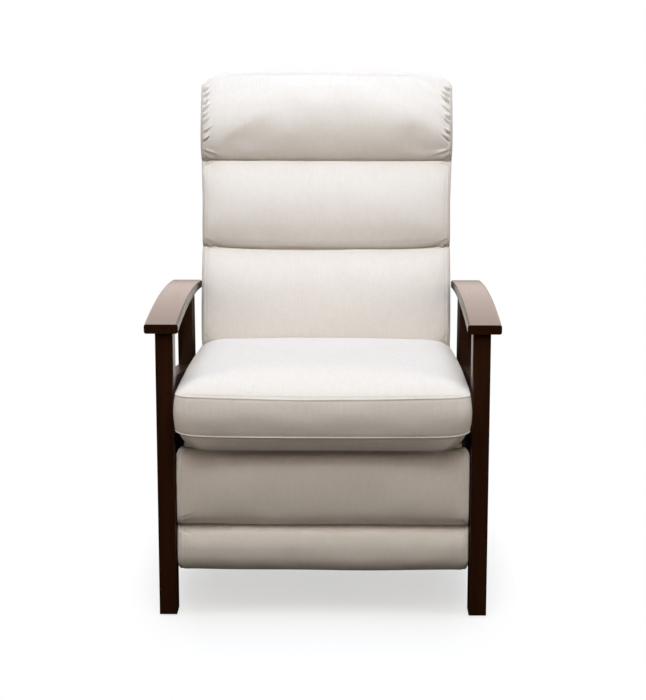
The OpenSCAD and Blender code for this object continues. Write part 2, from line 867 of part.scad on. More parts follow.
module deck() {
    reach = seat_plate_offset - soft_gap;
    start = front_rail_end + soft_gap;
    translate([-reach, start, deck_bottom])
        cube([2 * reach, seat_frame_end - start, deck_thickness]);
}

// Sinuous springs run from the front seat rail to the rear one
function sinuous_path(middle) =
    let (start = front_rail_end + seat_wire_radius + soft_gap,
        end = rear_rail_start - seat_wire_radius - soft_gap, steps = 8 * seat_spring_waves)
    [for (i = [0:steps])
        [middle + seat_spring_swing * sin(360 * seat_spring_waves * i / steps),
            start + (end - start) * i / steps, seat_wire_height]];

module sinuous_springs() {
    spacing = 2 * seat_rail_offset / (seat_spring_count + 1);
    echo(least_gap_in_seat_spring = least_gap(sinuous_path(0), 4, seat_wire_radius));
    for (i = [1:seat_spring_count]) {
        path = sinuous_path(i * spacing - seat_rail_offset);
        ring_solid(wire_rings(path, [for (p = path) [0, 0, 1]], seat_wire_radius, 5));
    }
}

// A square of half-width 1 with round corners, anticlockwise
function soft_square(corner, arc, side) =
    [for (q = [0:3]) each turned(q, concat(
        [for (i = [0:arc]) [1 - corner + corner * cos(90 * i / arc),
            1 - corner + corner * sin(90 * i / arc)]],
        [for (k = [1:side]) [(1 - corner) * (1 - 2 * k / (side + 1)), 1]]))];

function turned(quarters, points) =
    [for (p = points) [p.x * cos(90 * quarters) - p.y * sin(90 * quarters),
        p.x * sin(90 * quarters) + p.y * cos(90 * quarters)]];

// One point of the cushion's outline. The place goes round a soft square, the scale
// shrinks it towards the middle, and the height is above the underside.
function cushion_point(at, scale, inset, height) =
    let (rear = (at.y + 1) / 2,
        lift = cushion_lift * pow(rear, 3) * (1 - lift_fall * at.x * at.x)
            + cushion_arch * at.x * at.x * (1 - rear),
        above = height <= upper_seam ? height / upper_seam
            : 1 - (height - upper_seam) / cushion_crown,
        z = cushion_bottom + height + lift * above, limit = min(back_face(z), hinge_line(z)),
        half = cushion_width / 2 - cushion_taper * pow(rear, 3),
        tuck = inset <= cushion_draw ? 1
            : 1 + side_tuck * pow(at.x, 4) + rear_tuck * rear * rear,
        middle = (limit - cushion_overhang) / 2, reach = (limit + cushion_overhang) / 2,
        draw = cushion_draw * (1 - at.x * at.x))
    [at.x * scale * (half - tuck * inset), middle + at.y * scale * (reach - inset - draw), z];

// Setback that keeps the cushion's rear clear of the hinges at a height
function hinge_line(z) = back_pivot.x - bracket_width / 2 - 3 + max(0, z - hinge_top) * 0.95;

// Setback of the back cushion's face at a height above the floor
function back_face(z) =
    let (rise = z - back_pivot.y, face = cushion_front(max(back_start, rise / cos(back_lean))))
    back_pivot.x + rise * tan(back_lean) + face / cos(back_lean) - cushion_gap;

function cushion_ring(scale, inset, height) =
    [for (at = soft_square(cushion_corner, 5, 5)) cushion_point(at, scale, inset, height)];

// The tuck under the lower seam, the side band and the crown above the upper seam
function cushion_rings() =
    let (band = upper_seam - lower_seam)
    concat(
        [cushion_ring(0.5, cushion_tuck, 0)],
        [for (i = [0:4]) let (a = 90 * i / 5)
            cushion_ring(1, cushion_draw + (cushion_tuck - cushion_draw) * (1 - sin(a)),
                lower_seam * (1 - cos(a)))],
        [cushion_ring(1, cushion_draw, lower_seam)],
        [for (i = [1:4]) cushion_ring(1, cushion_draw * (1 - sin(36 * i)), lower_seam + band * i / 5)],
        [cushion_ring(1, cushion_draw, upper_seam)],
        [for (scale = [0.985, 0.955, 0.91, 0.84, 0.74, 0.6, 0.42, 0.2])
            cushion_ring(scale, cushion_draw, upper_seam + cushion_crown * pow(1 - pow(scale, 7), 0.7))]);

module cushion() {
    ring_solid(cushion_rings());
}

// Back. Its own frame has its origin on the pivot, its height along the lean and
// its depth square to the lean.
module back_frame() {
    translate([0, back_pivot.x, back_pivot.y]) rotate([-back_lean, 0, 0]) children();
}

// Half the back's width at a height along the lean
function back_half(height) =
    let (head = min(1, max(0, (height - flare_start) / (flare_end - flare_start))),
        corner_start = back_length - corner_height,
        u = min(1, max(0, (height - corner_start) / corner_height)))
    (back_width + (head_width - back_width) * head) / 2
        - corner_width * (1 - sqrt(1 - u * u));

module back_outline(inset, foot) {
    heights = concat([foot, flare_start, flare_end],
        [for (i = [0:8]) back_length - corner_height + corner_height * sin(90 * i / 8)]);
    side = [for (height = heights) [back_half(height) - inset, height - (height > foot ? inset : 0)]];
    polygon(concat(side, [for (i = [len(side) - 1:-1:0]) [-side[i].x, side[i].y]]));
}

// The cover: a shell behind the cushion, open at the front and at the foot
module cover() {
    back_frame() difference() {
        translate([0, cover_end, 0]) rotate([90, 0, 0])
            linear_extrude(cover_depth) back_outline(0, cover_foot);
        translate([0, cover_end - cover_wall, 0]) rotate([90, 0, 0])
            linear_extrude(cover_depth) back_outline(cover_wall, cover_foot - over);
    }
}

// Front of the back cushion at a height along the lean
function cushion_front(height) =
    let (low = channel_seams.x, high = channel_seams.y,
        u = height < low ? (height - back_start) / (low - back_start)
            : height < high ? (height - low) / (high - low)
            : min(0.5, (height - high) / (back_length - high) * 0.8),
        swell = 1 - pow(abs(2 * u - 1), 2.6),
        v = min(1, max(0, (height - (back_length - head_roll)) / head_roll)))
    seam_front - channel_depth * swell
        + (cushion_back - crown_front) * head_roll_share * (1 - sqrt(1 - v * v));

function back_ring(height) =
    let (front = cushion_front(height), reach = (cushion_back - front) / 2,
        middle = (cushion_back + front) / 2, half = back_half(height))
    [for (j = [0:31]) let (turn = 360 * (j + 0.5) / 32)
        [half * power(cos(turn), 0.3), middle + reach * power(sin(turn), 0.42), height]];

module back_pad() {
    low = channel_seams.x;
    high = channel_seams.y;
    rise = [0, 0.03, 0.1, 0.22, 0.36, 0.5, 0.64, 0.78, 0.9, 0.97];
    heights = concat(
        [for (r = rise) back_start + (low - back_start) * r],
        [for (r = rise) low + (high - low) * r],
        [for (r = [0, 0.03, 0.1, 0.22, 0.36, 0.5, 0.66]) high + (back_length - high) * r],
        [for (i = [0:6]) back_length - head_roll + (head_roll - soft_gap) * sin(90 * i / 6)]);
    back_frame() ring_solid([for (height = heights) back_ring(height)]);
}

module stile(side) {
    back_frame() on(side) difference() {
        translate([stile_offset, stile_front, stile_foot])
            cube([stile_width, stile_depth, back_length - stile_foot - stile_drop]);
        stile_bolts(fit_gap, 0.5);
    }
}

module back_rail(foot) {
    reach = stile_offset - joint_gap;
    back_frame() translate([-reach, stile_front, foot])
        cube([2 * reach, back_rail_thickness, back_rail_height]);
}

module webbing() {
    reach = stile_offset + stile_width;
    first = stile_foot + back_rail_height;
    span = back_length - stile_drop - back_rail_height - strap_height - first;
    back_frame() for (i = [0:strap_count - 1])
        translate([-reach, cover_start, first + span * i / (strap_count - 1)])
        cube([2 * reach, strap_thickness, strap_height]);
}

bracket_line = stile_front + 16;
bracket_foot_height = 90;
bracket_head_height = 180;
bracket_bolts_at = [[bracket_line, bracket_foot_height + 15],
    [bracket_line, bracket_head_height - 15]];

// Bolts through a back bracket into the stile, in the back's own frame
module stile_bolts(play, spare) {
    for (at = bracket_bolts_at)
        cross_pin(inner_layer - screw_length - spare, inner_layer + steel + 0.1,
            screw_radius + play, at);
}

module back_bolts() {
    back_frame() both() {
        stile_bolts(0, 0);
        for (at = bracket_bolts_at)
            cross_pin(inner_layer + steel, inner_layer + steel + screw_head_height,
                screw_head_radius, at);
    }
}

module back_bracket(side) {
    foot = [bracket_line, bracket_foot_height];
    head = [bracket_line, bracket_head_height];
    back_frame() on(side) difference() {
        side_plate(inner_layer, steel) difference() {
            union() {
                bar([0, 0], foot, bracket_width);
                bar(foot, head, bracket_width);
            }
            hole([0, 0], stud_radius + pin_play);
        }
        stile_bolts(fit_gap, 0.5);
    }
}

// Footrest

// Front of the pad at a height
function pad_face(height) =
    let (u = height < pad_seam ? (height - pad_bottom) / (pad_seam - pad_bottom)
            : (height - pad_seam) / (pad_top - pad_seam),
        outer = (height < pad_seam) == (u < 0.5))
    pad_front + pad_channel_depth * pow(abs(2 * u - 1), outer ? 6 : 3);

function pad_ring(height) =
    let (front = pad_face(height), reach = (pad_back - front) / 2, middle = (pad_back + front) / 2,
        low = max(0, 1 - (height - pad_bottom) / 14), high = max(0, 1 - (pad_top - height) / 14),
        half = footrest_width / 2 - 8 * (low * low + high * high))
    [for (j = [0:31]) let (turn = 360 * (j + 0.5) / 32)
        [half * power(cos(turn), 0.24), middle + reach * power(sin(turn), 0.4), height]];

module pad() {
    heights = concat(
        [for (r = [0, 0.02, 0.06, 0.13, 0.25, 0.42, 0.58, 0.72, 0.85, 0.94])
            pad_bottom + (pad_seam - pad_bottom) * r],
        [for (r = [0, 0.05, 0.13, 0.24, 0.37, 0.5, 0.63, 0.77, 0.89, 0.95, 0.985, 1])
            pad_seam + (pad_top - pad_seam) * r]);
    ring_solid([for (height = heights) pad_ring(height)]);
}

module board() {
    difference() {
        translate([-board_width / 2, board_front, pad_bottom + board_rise])
            cube([board_width, board_thickness, board_top - pad_bottom - board_rise]);
        both() bracket_screws(fit_gap, 0.5);
    }
}

// Named pieces

module left_arm() color(walnut) chair() arm(-1);
module right_arm() color(walnut) chair() arm(1);
module left_front_leg() color(walnut) chair() front_leg(-1);
module right_front_leg() color(walnut) chair() front_leg(1);
module left_rear_leg() color(walnut) chair() rear_leg(-1);
module right_rear_leg() color(walnut) chair() rear_leg(1);
module left_side_rail() color(walnut) chair() side_rail(-1);
module right_side_rail() color(walnut) chair() side_rail(1);
module rear_cross_rail() color(walnut) chair() cross_rail();
module front_cross_tube() color(dark_steel) chair() cross_tube();
module foot_glides() color(dark_felt) chair() glides();
module frame_dowels() color(bare_wood) chair() dowels();
module left_base_plate() color(dark_steel) chair() base_plate(-1);
module right_base_plate() color(dark_steel) chair() base_plate(1);
module base_plate_screws() color(zinc) chair() base_screws();
module base_pivot_studs() color(zinc) chair() base_studs();
module left_return_spring() color(zinc) chair() return_spring(-1);
module right_return_spring() color(zinc) chair() return_spring(1);
module left_front_swing_link() color(dark_steel) chair() swing_link(-1, front_base, front_seat);
module right_front_swing_link() color(dark_steel) chair() swing_link(1, front_base, front_seat);
module left_rear_swing_link() color(dark_steel) chair() swing_link(-1, rear_base, rear_seat);
module right_rear_swing_link() color(dark_steel) chair() swing_link(1, rear_base, rear_seat);
module left_seat_plate() color(dark_steel) chair() seat_plate(-1);
module right_seat_plate() color(dark_steel) chair() seat_plate(1);
module seat_plate_screws() color(zinc) chair() seat_screws();
module seat_pivot_studs() color(zinc) chair() seat_studs();
module left_seat_rail() color(bare_wood) chair() seat_side_rail(-1);
module right_seat_rail() color(bare_wood) chair() seat_side_rail(1);
module front_seat_rail() color(bare_wood) chair() seat_end_rail(front_rail_setback);
module rear_seat_rail() color(bare_wood) chair() seat_end_rail(rear_rail_start);
module seat_front_board() color(linen) chair() front_board();
module seat_deck() color(dark_felt) chair() deck();
module seat_springs() color(zinc) chair() sinuous_springs();
module seat_cushion() color(linen) chair() cushion();
module left_back_stile() color(bare_wood) chair() stile(-1);
module right_back_stile() color(bare_wood) chair() stile(1);
module top_back_rail() color(bare_wood) chair() back_rail(back_length - stile_drop - back_rail_height);
module lower_back_rail() color(bare_wood) chair() back_rail(stile_foot);
module back_webbing() color(dark_felt) chair() webbing();
module left_back_bracket() color(dark_steel) chair() back_bracket(-1);
module right_back_bracket() color(dark_steel) chair() back_bracket(1);
module back_bracket_bolts() color(zinc) chair() back_bolts();
module back_cover() color(linen) chair() cover();
module back_cushion() color(linen) chair() back_pad();
module left_drive_link() color(dark_steel) chair() drive_link(-1);
module right_drive_link() color(dark_steel) chair() drive_link(1);
module drive_shaft() color(zinc) chair() shaft();
module left_carrier_link() color(dark_steel) chair() carrier_link(-1);
module right_carrier_link() color(dark_steel) chair() carrier_link(1);
module carrier_rod() color(zinc) chair() carrier_cross_rod();
module left_parallel_link() color(dark_steel) chair() parallel_link(-1);
module right_parallel_link() color(dark_steel) chair() parallel_link(1);
module left_control_link() color(dark_steel) chair() control_link(-1);
module right_control_link() color(dark_steel) chair() control_link(1);
module left_footrest_bracket() color(dark_steel) chair() footrest_bracket(-1);
module right_footrest_bracket() color(dark_steel) chair() footrest_bracket(1);
module footrest_board() color(bare_wood) chair() board();
module footrest_pad() color(linen) chair() pad();
module footrest_rivets() color(zinc) chair() bracket_rivets();
module footrest_screws() color(zinc) chair() board_screws();

left_arm();
right_arm();
left_front_leg();
right_front_leg();
left_rear_leg();
right_rear_leg();
left_side_rail();
right_side_rail();
rear_cross_rail();
front_cross_tube();
foot_glides();
frame_dowels();
left_base_plate();
right_base_plate();
base_plate_screws();
base_pivot_studs();
left_return_spring();
right_return_spring();
left_front_swing_link();
right_front_swing_link();
left_rear_swing_link();
right_rear_swing_link();
left_seat_plate();
right_seat_plate();
seat_plate_screws();
seat_pivot_studs();
left_seat_rail();
right_seat_rail();
front_seat_rail();
rear_seat_rail();
seat_front_board();
seat_deck();
seat_springs();
seat_cushion();
left_back_stile();
right_back_stile();
top_back_rail();
lower_back_rail();
back_webbing();
left_back_bracket();
right_back_bracket();
back_bracket_bolts();
back_cover();
back_cushion();
left_drive_link();
right_drive_link();
drive_shaft();
left_carrier_link();
right_carrier_link();
carrier_rod();
left_parallel_link();
right_parallel_link();
left_control_link();
right_control_link();
left_footrest_bracket();
right_footrest_bracket();
footrest_board();
footrest_pad();
footrest_rivets();
footrest_screws();
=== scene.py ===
"""Looks of a push-back recliner: upholstery, wood, steel and the studio round it."""
import math

import bpy
import numpy as np
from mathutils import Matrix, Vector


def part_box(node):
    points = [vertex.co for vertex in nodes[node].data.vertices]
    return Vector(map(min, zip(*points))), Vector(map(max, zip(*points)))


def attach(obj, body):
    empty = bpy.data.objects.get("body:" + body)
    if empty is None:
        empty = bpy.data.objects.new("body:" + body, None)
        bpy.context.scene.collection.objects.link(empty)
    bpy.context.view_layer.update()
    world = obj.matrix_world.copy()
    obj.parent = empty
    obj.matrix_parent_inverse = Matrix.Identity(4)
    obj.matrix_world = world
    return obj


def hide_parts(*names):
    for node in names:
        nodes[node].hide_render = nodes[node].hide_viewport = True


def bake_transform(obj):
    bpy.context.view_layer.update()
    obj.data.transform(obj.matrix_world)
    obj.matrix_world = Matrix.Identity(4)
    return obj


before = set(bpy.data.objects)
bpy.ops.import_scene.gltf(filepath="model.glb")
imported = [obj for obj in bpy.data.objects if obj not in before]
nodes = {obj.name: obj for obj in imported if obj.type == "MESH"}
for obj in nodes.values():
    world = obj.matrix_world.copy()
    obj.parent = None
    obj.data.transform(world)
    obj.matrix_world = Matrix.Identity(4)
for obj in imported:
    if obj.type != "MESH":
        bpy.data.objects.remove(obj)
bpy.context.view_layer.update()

# Places in metres. Setbacks run to the rear from the front face of the front legs.
LEG_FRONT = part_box("right_front_leg")[0].y
LEG_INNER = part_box("right_front_leg")[0].x
ARM_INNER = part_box("right_arm")[0].x
BOARD_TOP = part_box("seat_front_board")[1].z
HINGE = np.array([0.430, BOARD_TOP + 0.001])
LEAN = math.radians(16)
SEAT_PIVOT = np.array([0.130, BOARD_TOP - 0.014])
SWING_LEAN = math.radians(35)

# The cloth simulation of the cushions' covers
CLOTH_STEP = 2
CLOTH_GROWTH = 0.03
CLOTH_PRESSURE = 4.0
CLOTH_FRAMES = 20


# Numbers and shapes

def mix(a, b, share):
    """Straight blend from a to b."""
    return a + (b - a) * share


def ease(t):
    """Smooth step from 0 to 1."""
    t = np.clip(t, 0, 1)
    return t * t * (3 - 2 * t)


def bell(x, width):
    """Bell curve of height 1 about zero."""
    return np.exp(-((x / width) ** 2))


def crowded(count):
    """Steps from 0 to 1 that crowd at both ends: half of one minus a cosine."""
    return 0.5 - 0.5 * np.cos(np.pi * np.arange(count) / (count - 1))


def ripple(along, pitch, seed):
    """Uneven waves along a line: five sines near one pitch with random phases."""
    dice = np.random.default_rng(seed)
    total = 0 * along
    for share in dice.uniform(0.55, 1.9, 5):
        total = total + np.sin(2 * np.pi * along * share / pitch + dice.uniform(0, 6.28))
    return total / 2.2


def rolling(x, y, size, seed):
    """Gentle hills over a plane: eight cosines in random directions."""
    dice = np.random.default_rng(seed)
    total = 0 * x
    for turn in dice.uniform(0, 2 * np.pi, 8):
        wave = size * dice.uniform(0.6, 1.7)
        total = total + np.cos(
            2 * np.pi * (x * math.cos(turn) + y * math.sin(turn)) / wave + dice.uniform(0, 6.28)
        )
    return total / 3


def chair(x, setback, height):
    """Points of the chair from their place across, setback and height."""
    x, setback, height = np.broadcast_arrays(x, setback, height)
    return np.stack([x, setback + LEG_FRONT, height], -1)


def leaning(x, depth, rise):
    """Points of the back from their place across, depth square to the lean and height
    along it. The lean turns them about the hinge."""
    setback = HINGE[0] + depth * math.cos(LEAN) + rise * math.sin(LEAN)
    height = HINGE[1] + rise * math.cos(LEAN) - depth * math.sin(LEAN)
    return chair(x, setback, height)


def facing(points, around=True):
    """Unit normals of a grid: the cross product of its two slopes."""
    if around:
        across = np.roll(points, -1, 1) - np.roll(points, 1, 1)
    else:
        across = np.gradient(points, axis=1)
    along = np.gradient(points, axis=0)
    normal = np.cross(across, along)
    return normal / np.maximum(np.linalg.norm(normal, axis=-1, keepdims=True), 1e-12)


def travelled(points):
    """Distance covered down each column of a grid."""
    steps = np.linalg.norm(np.diff(points, axis=0), axis=-1)
    return np.concatenate([np.zeros((1, points.shape[1])), np.cumsum(steps, 0)])


def placed(name, data):
    """A new object of some data, in the scene."""
    thing = bpy.data.objects.new(name, data)
    bpy.context.scene.collection.objects.link(thing)
    return thing


def smooth_mesh(name, corners, faces):
    """A smooth mesh of corners and faces, as an object."""
    mesh = bpy.data.meshes.new(name)
    mesh.from_pydata(corners.tolist(), [], faces)
    mesh.polygons.foreach_set("use_smooth", np.ones(len(mesh.polygons), bool))
    mesh.update()
    return placed(name, mesh)


def build(name, points, around=True, low_cap=True, high_cap=True):
    """Mesh of a grid of points. Columns join round when it goes around, and each cap
    closes an end row to its middle."""
    rows, columns = points.shape[:2]
    corner = points.reshape(-1, 3)
    wide = columns if around else columns - 1
    i, j = np.meshgrid(np.arange(rows - 1), np.arange(wide), indexing="ij")
    k = (j + 1) % columns
    quads = np.stack([i * columns + j, i * columns + k, (i + 1) * columns + k,
                      (i + 1) * columns + j], -1).reshape(-1, 4).tolist()
    ring = np.arange(columns)
    after = (ring + 1) % columns
    if low_cap:
        quads += np.stack([np.full(columns, len(corner)), after, ring], -1).tolist()
        corner = np.vstack([corner, points[0].mean(0)])
    if high_cap:
        top = (rows - 1) * columns
        quads += np.stack([np.full(columns, len(corner)), top + ring, top + after], -1).tolist()
        corner = np.vstack([corner, points[-1].mean(0)])
    return smooth_mesh(name, corner, quads)


def lay_weave(piece, lean=0.0):
    """Cloth coordinates in metres: each face takes the two axes that it faces least,
    after the lean is turned upright."""
    mesh = piece.data
    place = np.empty(len(mesh.vertices) * 3)
    mesh.vertices.foreach_get("co", place)
    place = place.reshape(-1, 3)
    turn = np.array([[1, 0, 0], [0, math.cos(lean), -math.sin(lean)],
                     [0, math.sin(lean), math.cos(lean)]])
    place = place @ turn.T
    normal = np.empty(len(mesh.polygons) * 3)
    mesh.polygons.foreach_get("normal", normal)
    normal = np.abs(normal.reshape(-1, 3) @ turn.T)
    size = np.empty(len(mesh.polygons), int)
    mesh.polygons.foreach_get("loop_total", size)
    vertex = np.empty(len(mesh.loops), int)
    mesh.loops.foreach_get("vertex_index", vertex)
    side = np.repeat(normal.argmax(1), size)
    point = place[vertex]
    warp = np.where(side == 0, point[:, 1], point[:, 0])
    weft = np.where(side == 2, point[:, 1], point[:, 2])
    layer = mesh.uv_layers.new(name="weave")
    layer.data.foreach_set("uv", np.stack([warp, weft], -1).ravel())
    return piece


def tube(name, path, radius, upward, sides=12):
    """Round wire along a path: a circle in the plane square to each step, turned so that
    it starts towards a given direction. Both ends are closed."""
    ahead = np.gradient(path, axis=0)
    ahead /= np.linalg.norm(ahead, axis=1, keepdims=True)
    out = np.cross(ahead, upward)
    out /= np.linalg.norm(out, axis=1, keepdims=True)
    up = np.cross(out, ahead)
    turn = 2 * np.pi * np.arange(sides) / sides
    points = (path[:, None] + radius * (up[:, None] * np.cos(turn)[:, None]
                                        + out[:, None] * np.sin(turn)[:, None]))
    return build(name, points[:, ::-1])


def soften(field, times):
    """Smooths a field on a closed grid with a running mean of three both ways."""
    for _ in range(times):
        field = (np.roll(field, 1, 1) + 2 * field + np.roll(field, -1, 1)) / 4
        field[1:-1] = (field[:-2] + 2 * field[1:-1] + field[2:]) / 4
    return field


def blown(name, grid, pinned):
    """How far each point of a closed grid moves when it is blown up as cloth, with its
    pinned points held."""
    piece = build(name + "_cloth", grid)
    group = piece.vertex_groups.new(name="held")
    group.add(np.flatnonzero(pinned.ravel()).tolist(), 1.0, "REPLACE")
    cloth = piece.modifiers.new("cloth", "CLOTH")
    cloth.settings.quality = 6
    cloth.settings.mass = 0.25
    cloth.settings.tension_stiffness = 18
    cloth.settings.compression_stiffness = 8
    cloth.settings.shear_stiffness = 6
    cloth.settings.bending_stiffness = 0.35
    cloth.settings.shrink_min = -CLOTH_GROWTH
    cloth.settings.shrink_max = -CLOTH_GROWTH
    cloth.settings.vertex_group_mass = "held"
    cloth.settings.use_pressure = True
    cloth.settings.uniform_pressure_force = CLOTH_PRESSURE
    cloth.settings.effector_weights.gravity = 0
    cloth.point_cache.frame_end = CLOTH_FRAMES
    for frame_number in range(1, CLOTH_FRAMES + 1):
        bpy.context.scene.frame_set(frame_number)
    result = piece.evaluated_get(bpy.context.evaluated_depsgraph_get()).data
    place = np.empty(len(result.vertices) * 3)
    result.vertices.foreach_get("co", place)
    move = place.reshape(-1, 3)[:grid[..., 0].size].reshape(grid.shape) - grid
    mesh = piece.data
    bpy.data.objects.remove(piece)
    bpy.data.meshes.remove(mesh)
    bpy.context.scene.frame_set(1)
    return move


def swelled(name, points, held, cap):
    """The moves of a cover blown up with its seams held. The cloth has every second row
    and column. Its moves stop at the cap, are spread back over all the points and
    smoothed, and fade out at the seams."""
    rows = np.unique(np.append(np.arange(0, len(points), CLOTH_STEP), len(points) - 1))
    move = blown(name, points[rows][:, ::CLOTH_STEP], held[rows][:, ::CLOTH_STEP])
    length = np.linalg.norm(move, axis=-1, keepdims=True)
    move *= np.minimum(1, cap / np.maximum(length, 1e-9))
    across = np.arange(points.shape[1]) / CLOTH_STEP
    left = np.floor(across).astype(int) % move.shape[1]
    right = (left + 1) % move.shape[1]
    wide = mix(move[:, left], move[:, right], (across - np.floor(across))[None, :, None])
    down = np.interp(np.arange(len(points)), rows, np.arange(len(rows)))
    above = np.minimum(np.floor(down).astype(int), len(rows) - 2)
    whole = mix(wide[above], wide[above + 1], (down - above)[:, None, None])
    return soften(whole, 16) * soften(1.0 - held, 4)[..., None]


# Shader maths

class Field:
    """A number that varies over a surface. Its operators add Math nodes."""

    def __init__(self, finish, socket):
        self.finish = finish
        self.socket = socket

    def maths(self, operation, *others):
        return self.finish.add("Math", {"operation": operation}, [self, *others])

    def __add__(self, other):
        return self.maths("ADD", other)

    def __mul__(self, other):
        return self.maths("MULTIPLY", other)

    def __sub__(self, other):
        return self.maths("SUBTRACT", other)

    def __rsub__(self, other):
        return self * -1 + other

    def __truediv__(self, other):
        return self.maths("DIVIDE", other)

    def sine(self):
        return self.maths("SINE")

    def between(self, low, high):
        return self.maths("MAXIMUM", low).maths("MINIMUM", high)

    def step(self, low, high):
        return ((self - low) / (high - low)).between(0, 1)


class Graph:
    """A node tree with one method that adds any node."""

    def __init__(self, tree):
        self.tree = tree

    def put(self, node, sockets):
        """Fills a node's sockets, by name or in order, with values or links."""
        pairs = sockets.items() if isinstance(sockets, dict) else enumerate(sockets)
        for key, value in pairs:
            if isinstance(value, Field):
                self.tree.links.new(value.socket, node.inputs[key])
            else:
                node.inputs[key].default_value = value

    def add(self, kind, settings=None, sockets=(), output=0):
        """Adds a node: its settings first, then its sockets."""
        node = self.tree.nodes.new("ShaderNode" + kind)
        for key, value in (settings or {}).items():
            setattr(node, key, value)
        self.put(node, sockets)
        return Field(self, node.outputs[output])

    def blend(self, share, low, high):
        """Mixes two colours."""
        low, high = (c if isinstance(c, Field) else (*c, 1) for c in (low, high))
        return self.add("Mix", {"data_type": "RGBA"}, {0: share, 6: low, 7: high}, 2)

    def parts(self, place):
        """The three coordinates of a place."""
        return [self.add("SeparateXYZ", None, [place], axis) for axis in range(3)]

    def noise(self, place, scale, detail=2.0, rough=0.5, flat=False):
        """Noise on a place that is stretched by a scale for each axis."""
        stretched = self.add("Mapping", None, {"Vector": place, "Scale": scale})
        settings = {"noise_dimensions": "2D" if flat else "3D"}
        return self.add("TexNoise", settings,
                        {"Vector": stretched, "Scale": 1.0, "Detail": detail, "Roughness": rough})


class Finish(Graph):
    """A material on a principled shader."""

    def __init__(self, name, **constants):
        self.material = bpy.data.materials.new(name)
        self.material.use_nodes = True
        super().__init__(self.material.node_tree)
        self.shader = self.tree.nodes["Principled BSDF"]
        for socket, value in constants.items():
            self.shader.inputs[socket.replace("_", " ")].default_value = value

    def wear(self, colour=None, rough=None, height=None, depth=0.001, strength=1.0):
        """Joins what varies to the shader."""
        if colour is not None:
            self.put(self.shader, {"Base Color": colour})
        if rough is not None:
            self.put(self.shader, {"Roughness": rough})
        if height is not None:
            self.put(self.shader, {"Normal": self.add(
                "Bump", None, {"Strength": strength, "Distance": depth, "Height": height})})
        return self.material


WARP_PITCH, WEFT_PITCH = 0.0011, 0.0012


def linen(name, light, shade, weight=1.0):
    """Plain weave with short uneven warp slubs and finer weft ones."""
    cloth = Finish(name, Roughness=0.9, Sheen_Weight=0.1, Sheen_Roughness=0.5,
                   Specular_IOR_Level=0.2)
    place = cloth.add("UVMap", {"uv_map": "weave"})
    warp, weft, _ = cloth.parts(place)
    slub = cloth.noise(place, (900, 42, 1), 2, 0.55, True)
    streak = cloth.noise(place, (420, 17, 1), 2, 0.5, True)
    pick = cloth.noise(place, (60, 950, 1), 2, 0.5, True)
    patch = cloth.noise(place, (70, 70, 1), 4, 0.6, True)
    thread = (warp * (2 * math.pi / WARP_PITCH)).sine() * (weft * (2 * math.pi / WEFT_PITCH)).sine()
    tone = slub * 0.8 + streak * 0.4 + pick * 0.65 + patch * 0.3 - 0.575 + thread * 0.08
    colour = cloth.blend(tone.between(0, 1), shade, light)
    height = thread * 0.5 + slub * 1.1 + pick * 0.8
    return cloth.wear(colour, None, height, 0.00035 * weight, 0.5)


def stained_wood(name, along, dark, light, gloss, pores=1.0):
    """Straight grain along one axis: stretched noise, with fine pores in the lacquer."""
    wood = Finish(name, Coat_Weight=gloss, Coat_Roughness=0.2, Specular_IOR_Level=0.7,
                  Specular_Tint=(1.0, 0.78, 0.68, 1.0))
    place = wood.add("TexCoord", None, (), 3)
    grain_scale = [38.0, 38.0, 38.0]
    fine_scale = [420.0, 420.0, 420.0]
    grain_scale[along] = 2.2
    fine_scale[along] = 14.0
    bend = wood.noise(place, (5, 5, 5), 2)
    figure = wood.noise(place, tuple(grain_scale), 5, 0.6)
    fine = wood.noise(place, tuple(fine_scale), 3, 0.6)
    tone = (figure * 1.3 + fine * 0.55 + bend * 0.35 - 0.62).between(0, 1)
    colour = wood.blend(tone, dark, light)
    return wood.wear(colour, fine * 0.12 + 0.17, fine * pores + figure * 0.4, 0.0002, 0.25)


def coated_steel(name, colour, rough):
    """Powder coat: an even colour over a fine orange-peel skin."""
    steel = Finish(name, Metallic=0.0, Specular_IOR_Level=0.5)
    place = steel.add("TexCoord", None, (), 3)
    peel = steel.noise(place, (900, 900, 900), 2)
    dust = steel.noise(place, (30, 30, 30), 4)
    tone = steel.blend(dust.step(0.35, 0.8), colour, tuple(c * 1.8 + 0.006 for c in colour))
    return steel.wear(tone, dust * 0.25 + rough, peel, 0.0002, 0.5)


def plated_steel(name):
    """Zinc plate: drawn lines and cloudy patches."""
    steel = Finish(name, Metallic=1.0)
    place = steel.add("TexCoord", None, (), 3)
    drawn = steel.noise(place, (60, 1400, 1400), 2)
    cloud = steel.noise(place, (80, 80, 80), 3)
    tone = steel.blend(cloud, (0.44, 0.45, 0.47), (0.68, 0.68, 0.69))
    return steel.wear(tone, cloud * 0.2 + drawn * 0.1 + 0.2, drawn, 0.0001, 0.4)


def strap_cloth(name, colour, rib):
    """Woven strap: ribs across with a finer thread along them, in the piece's own place."""
    strap = Finish(name, Roughness=0.9, Specular_IOR_Level=0.2)
    place = strap.add("TexCoord", None, (), 3)
    across, back, up = strap.parts(place)
    ribs = ((up + back) * (2 * math.pi / rib)).sine() * (across * (2 * math.pi / rib)).sine()
    fuzz = strap.noise(place, (300, 300, 300), 3)
    tone = strap.blend((ribs * 0.35 + fuzz * 0.7).between(0, 1), colour,
                       tuple(c * 2.4 for c in colour))
    return strap.wear(tone, None, ribs + fuzz, 0.0004, 0.6)


def plain_plastic(name, colour):
    """Moulded plastic with a light scuff."""
    plastic = Finish(name, Specular_IOR_Level=0.4)
    place = plastic.add("TexCoord", None, (), 3)
    scuff = plastic.noise(place, (120, 120, 400), 4)
    tone = plastic.blend(scuff, colour, tuple(c * 1.7 for c in colour))
    return plastic.wear(tone, scuff * 0.3 + 0.4, scuff, 0.0002, 0.4)


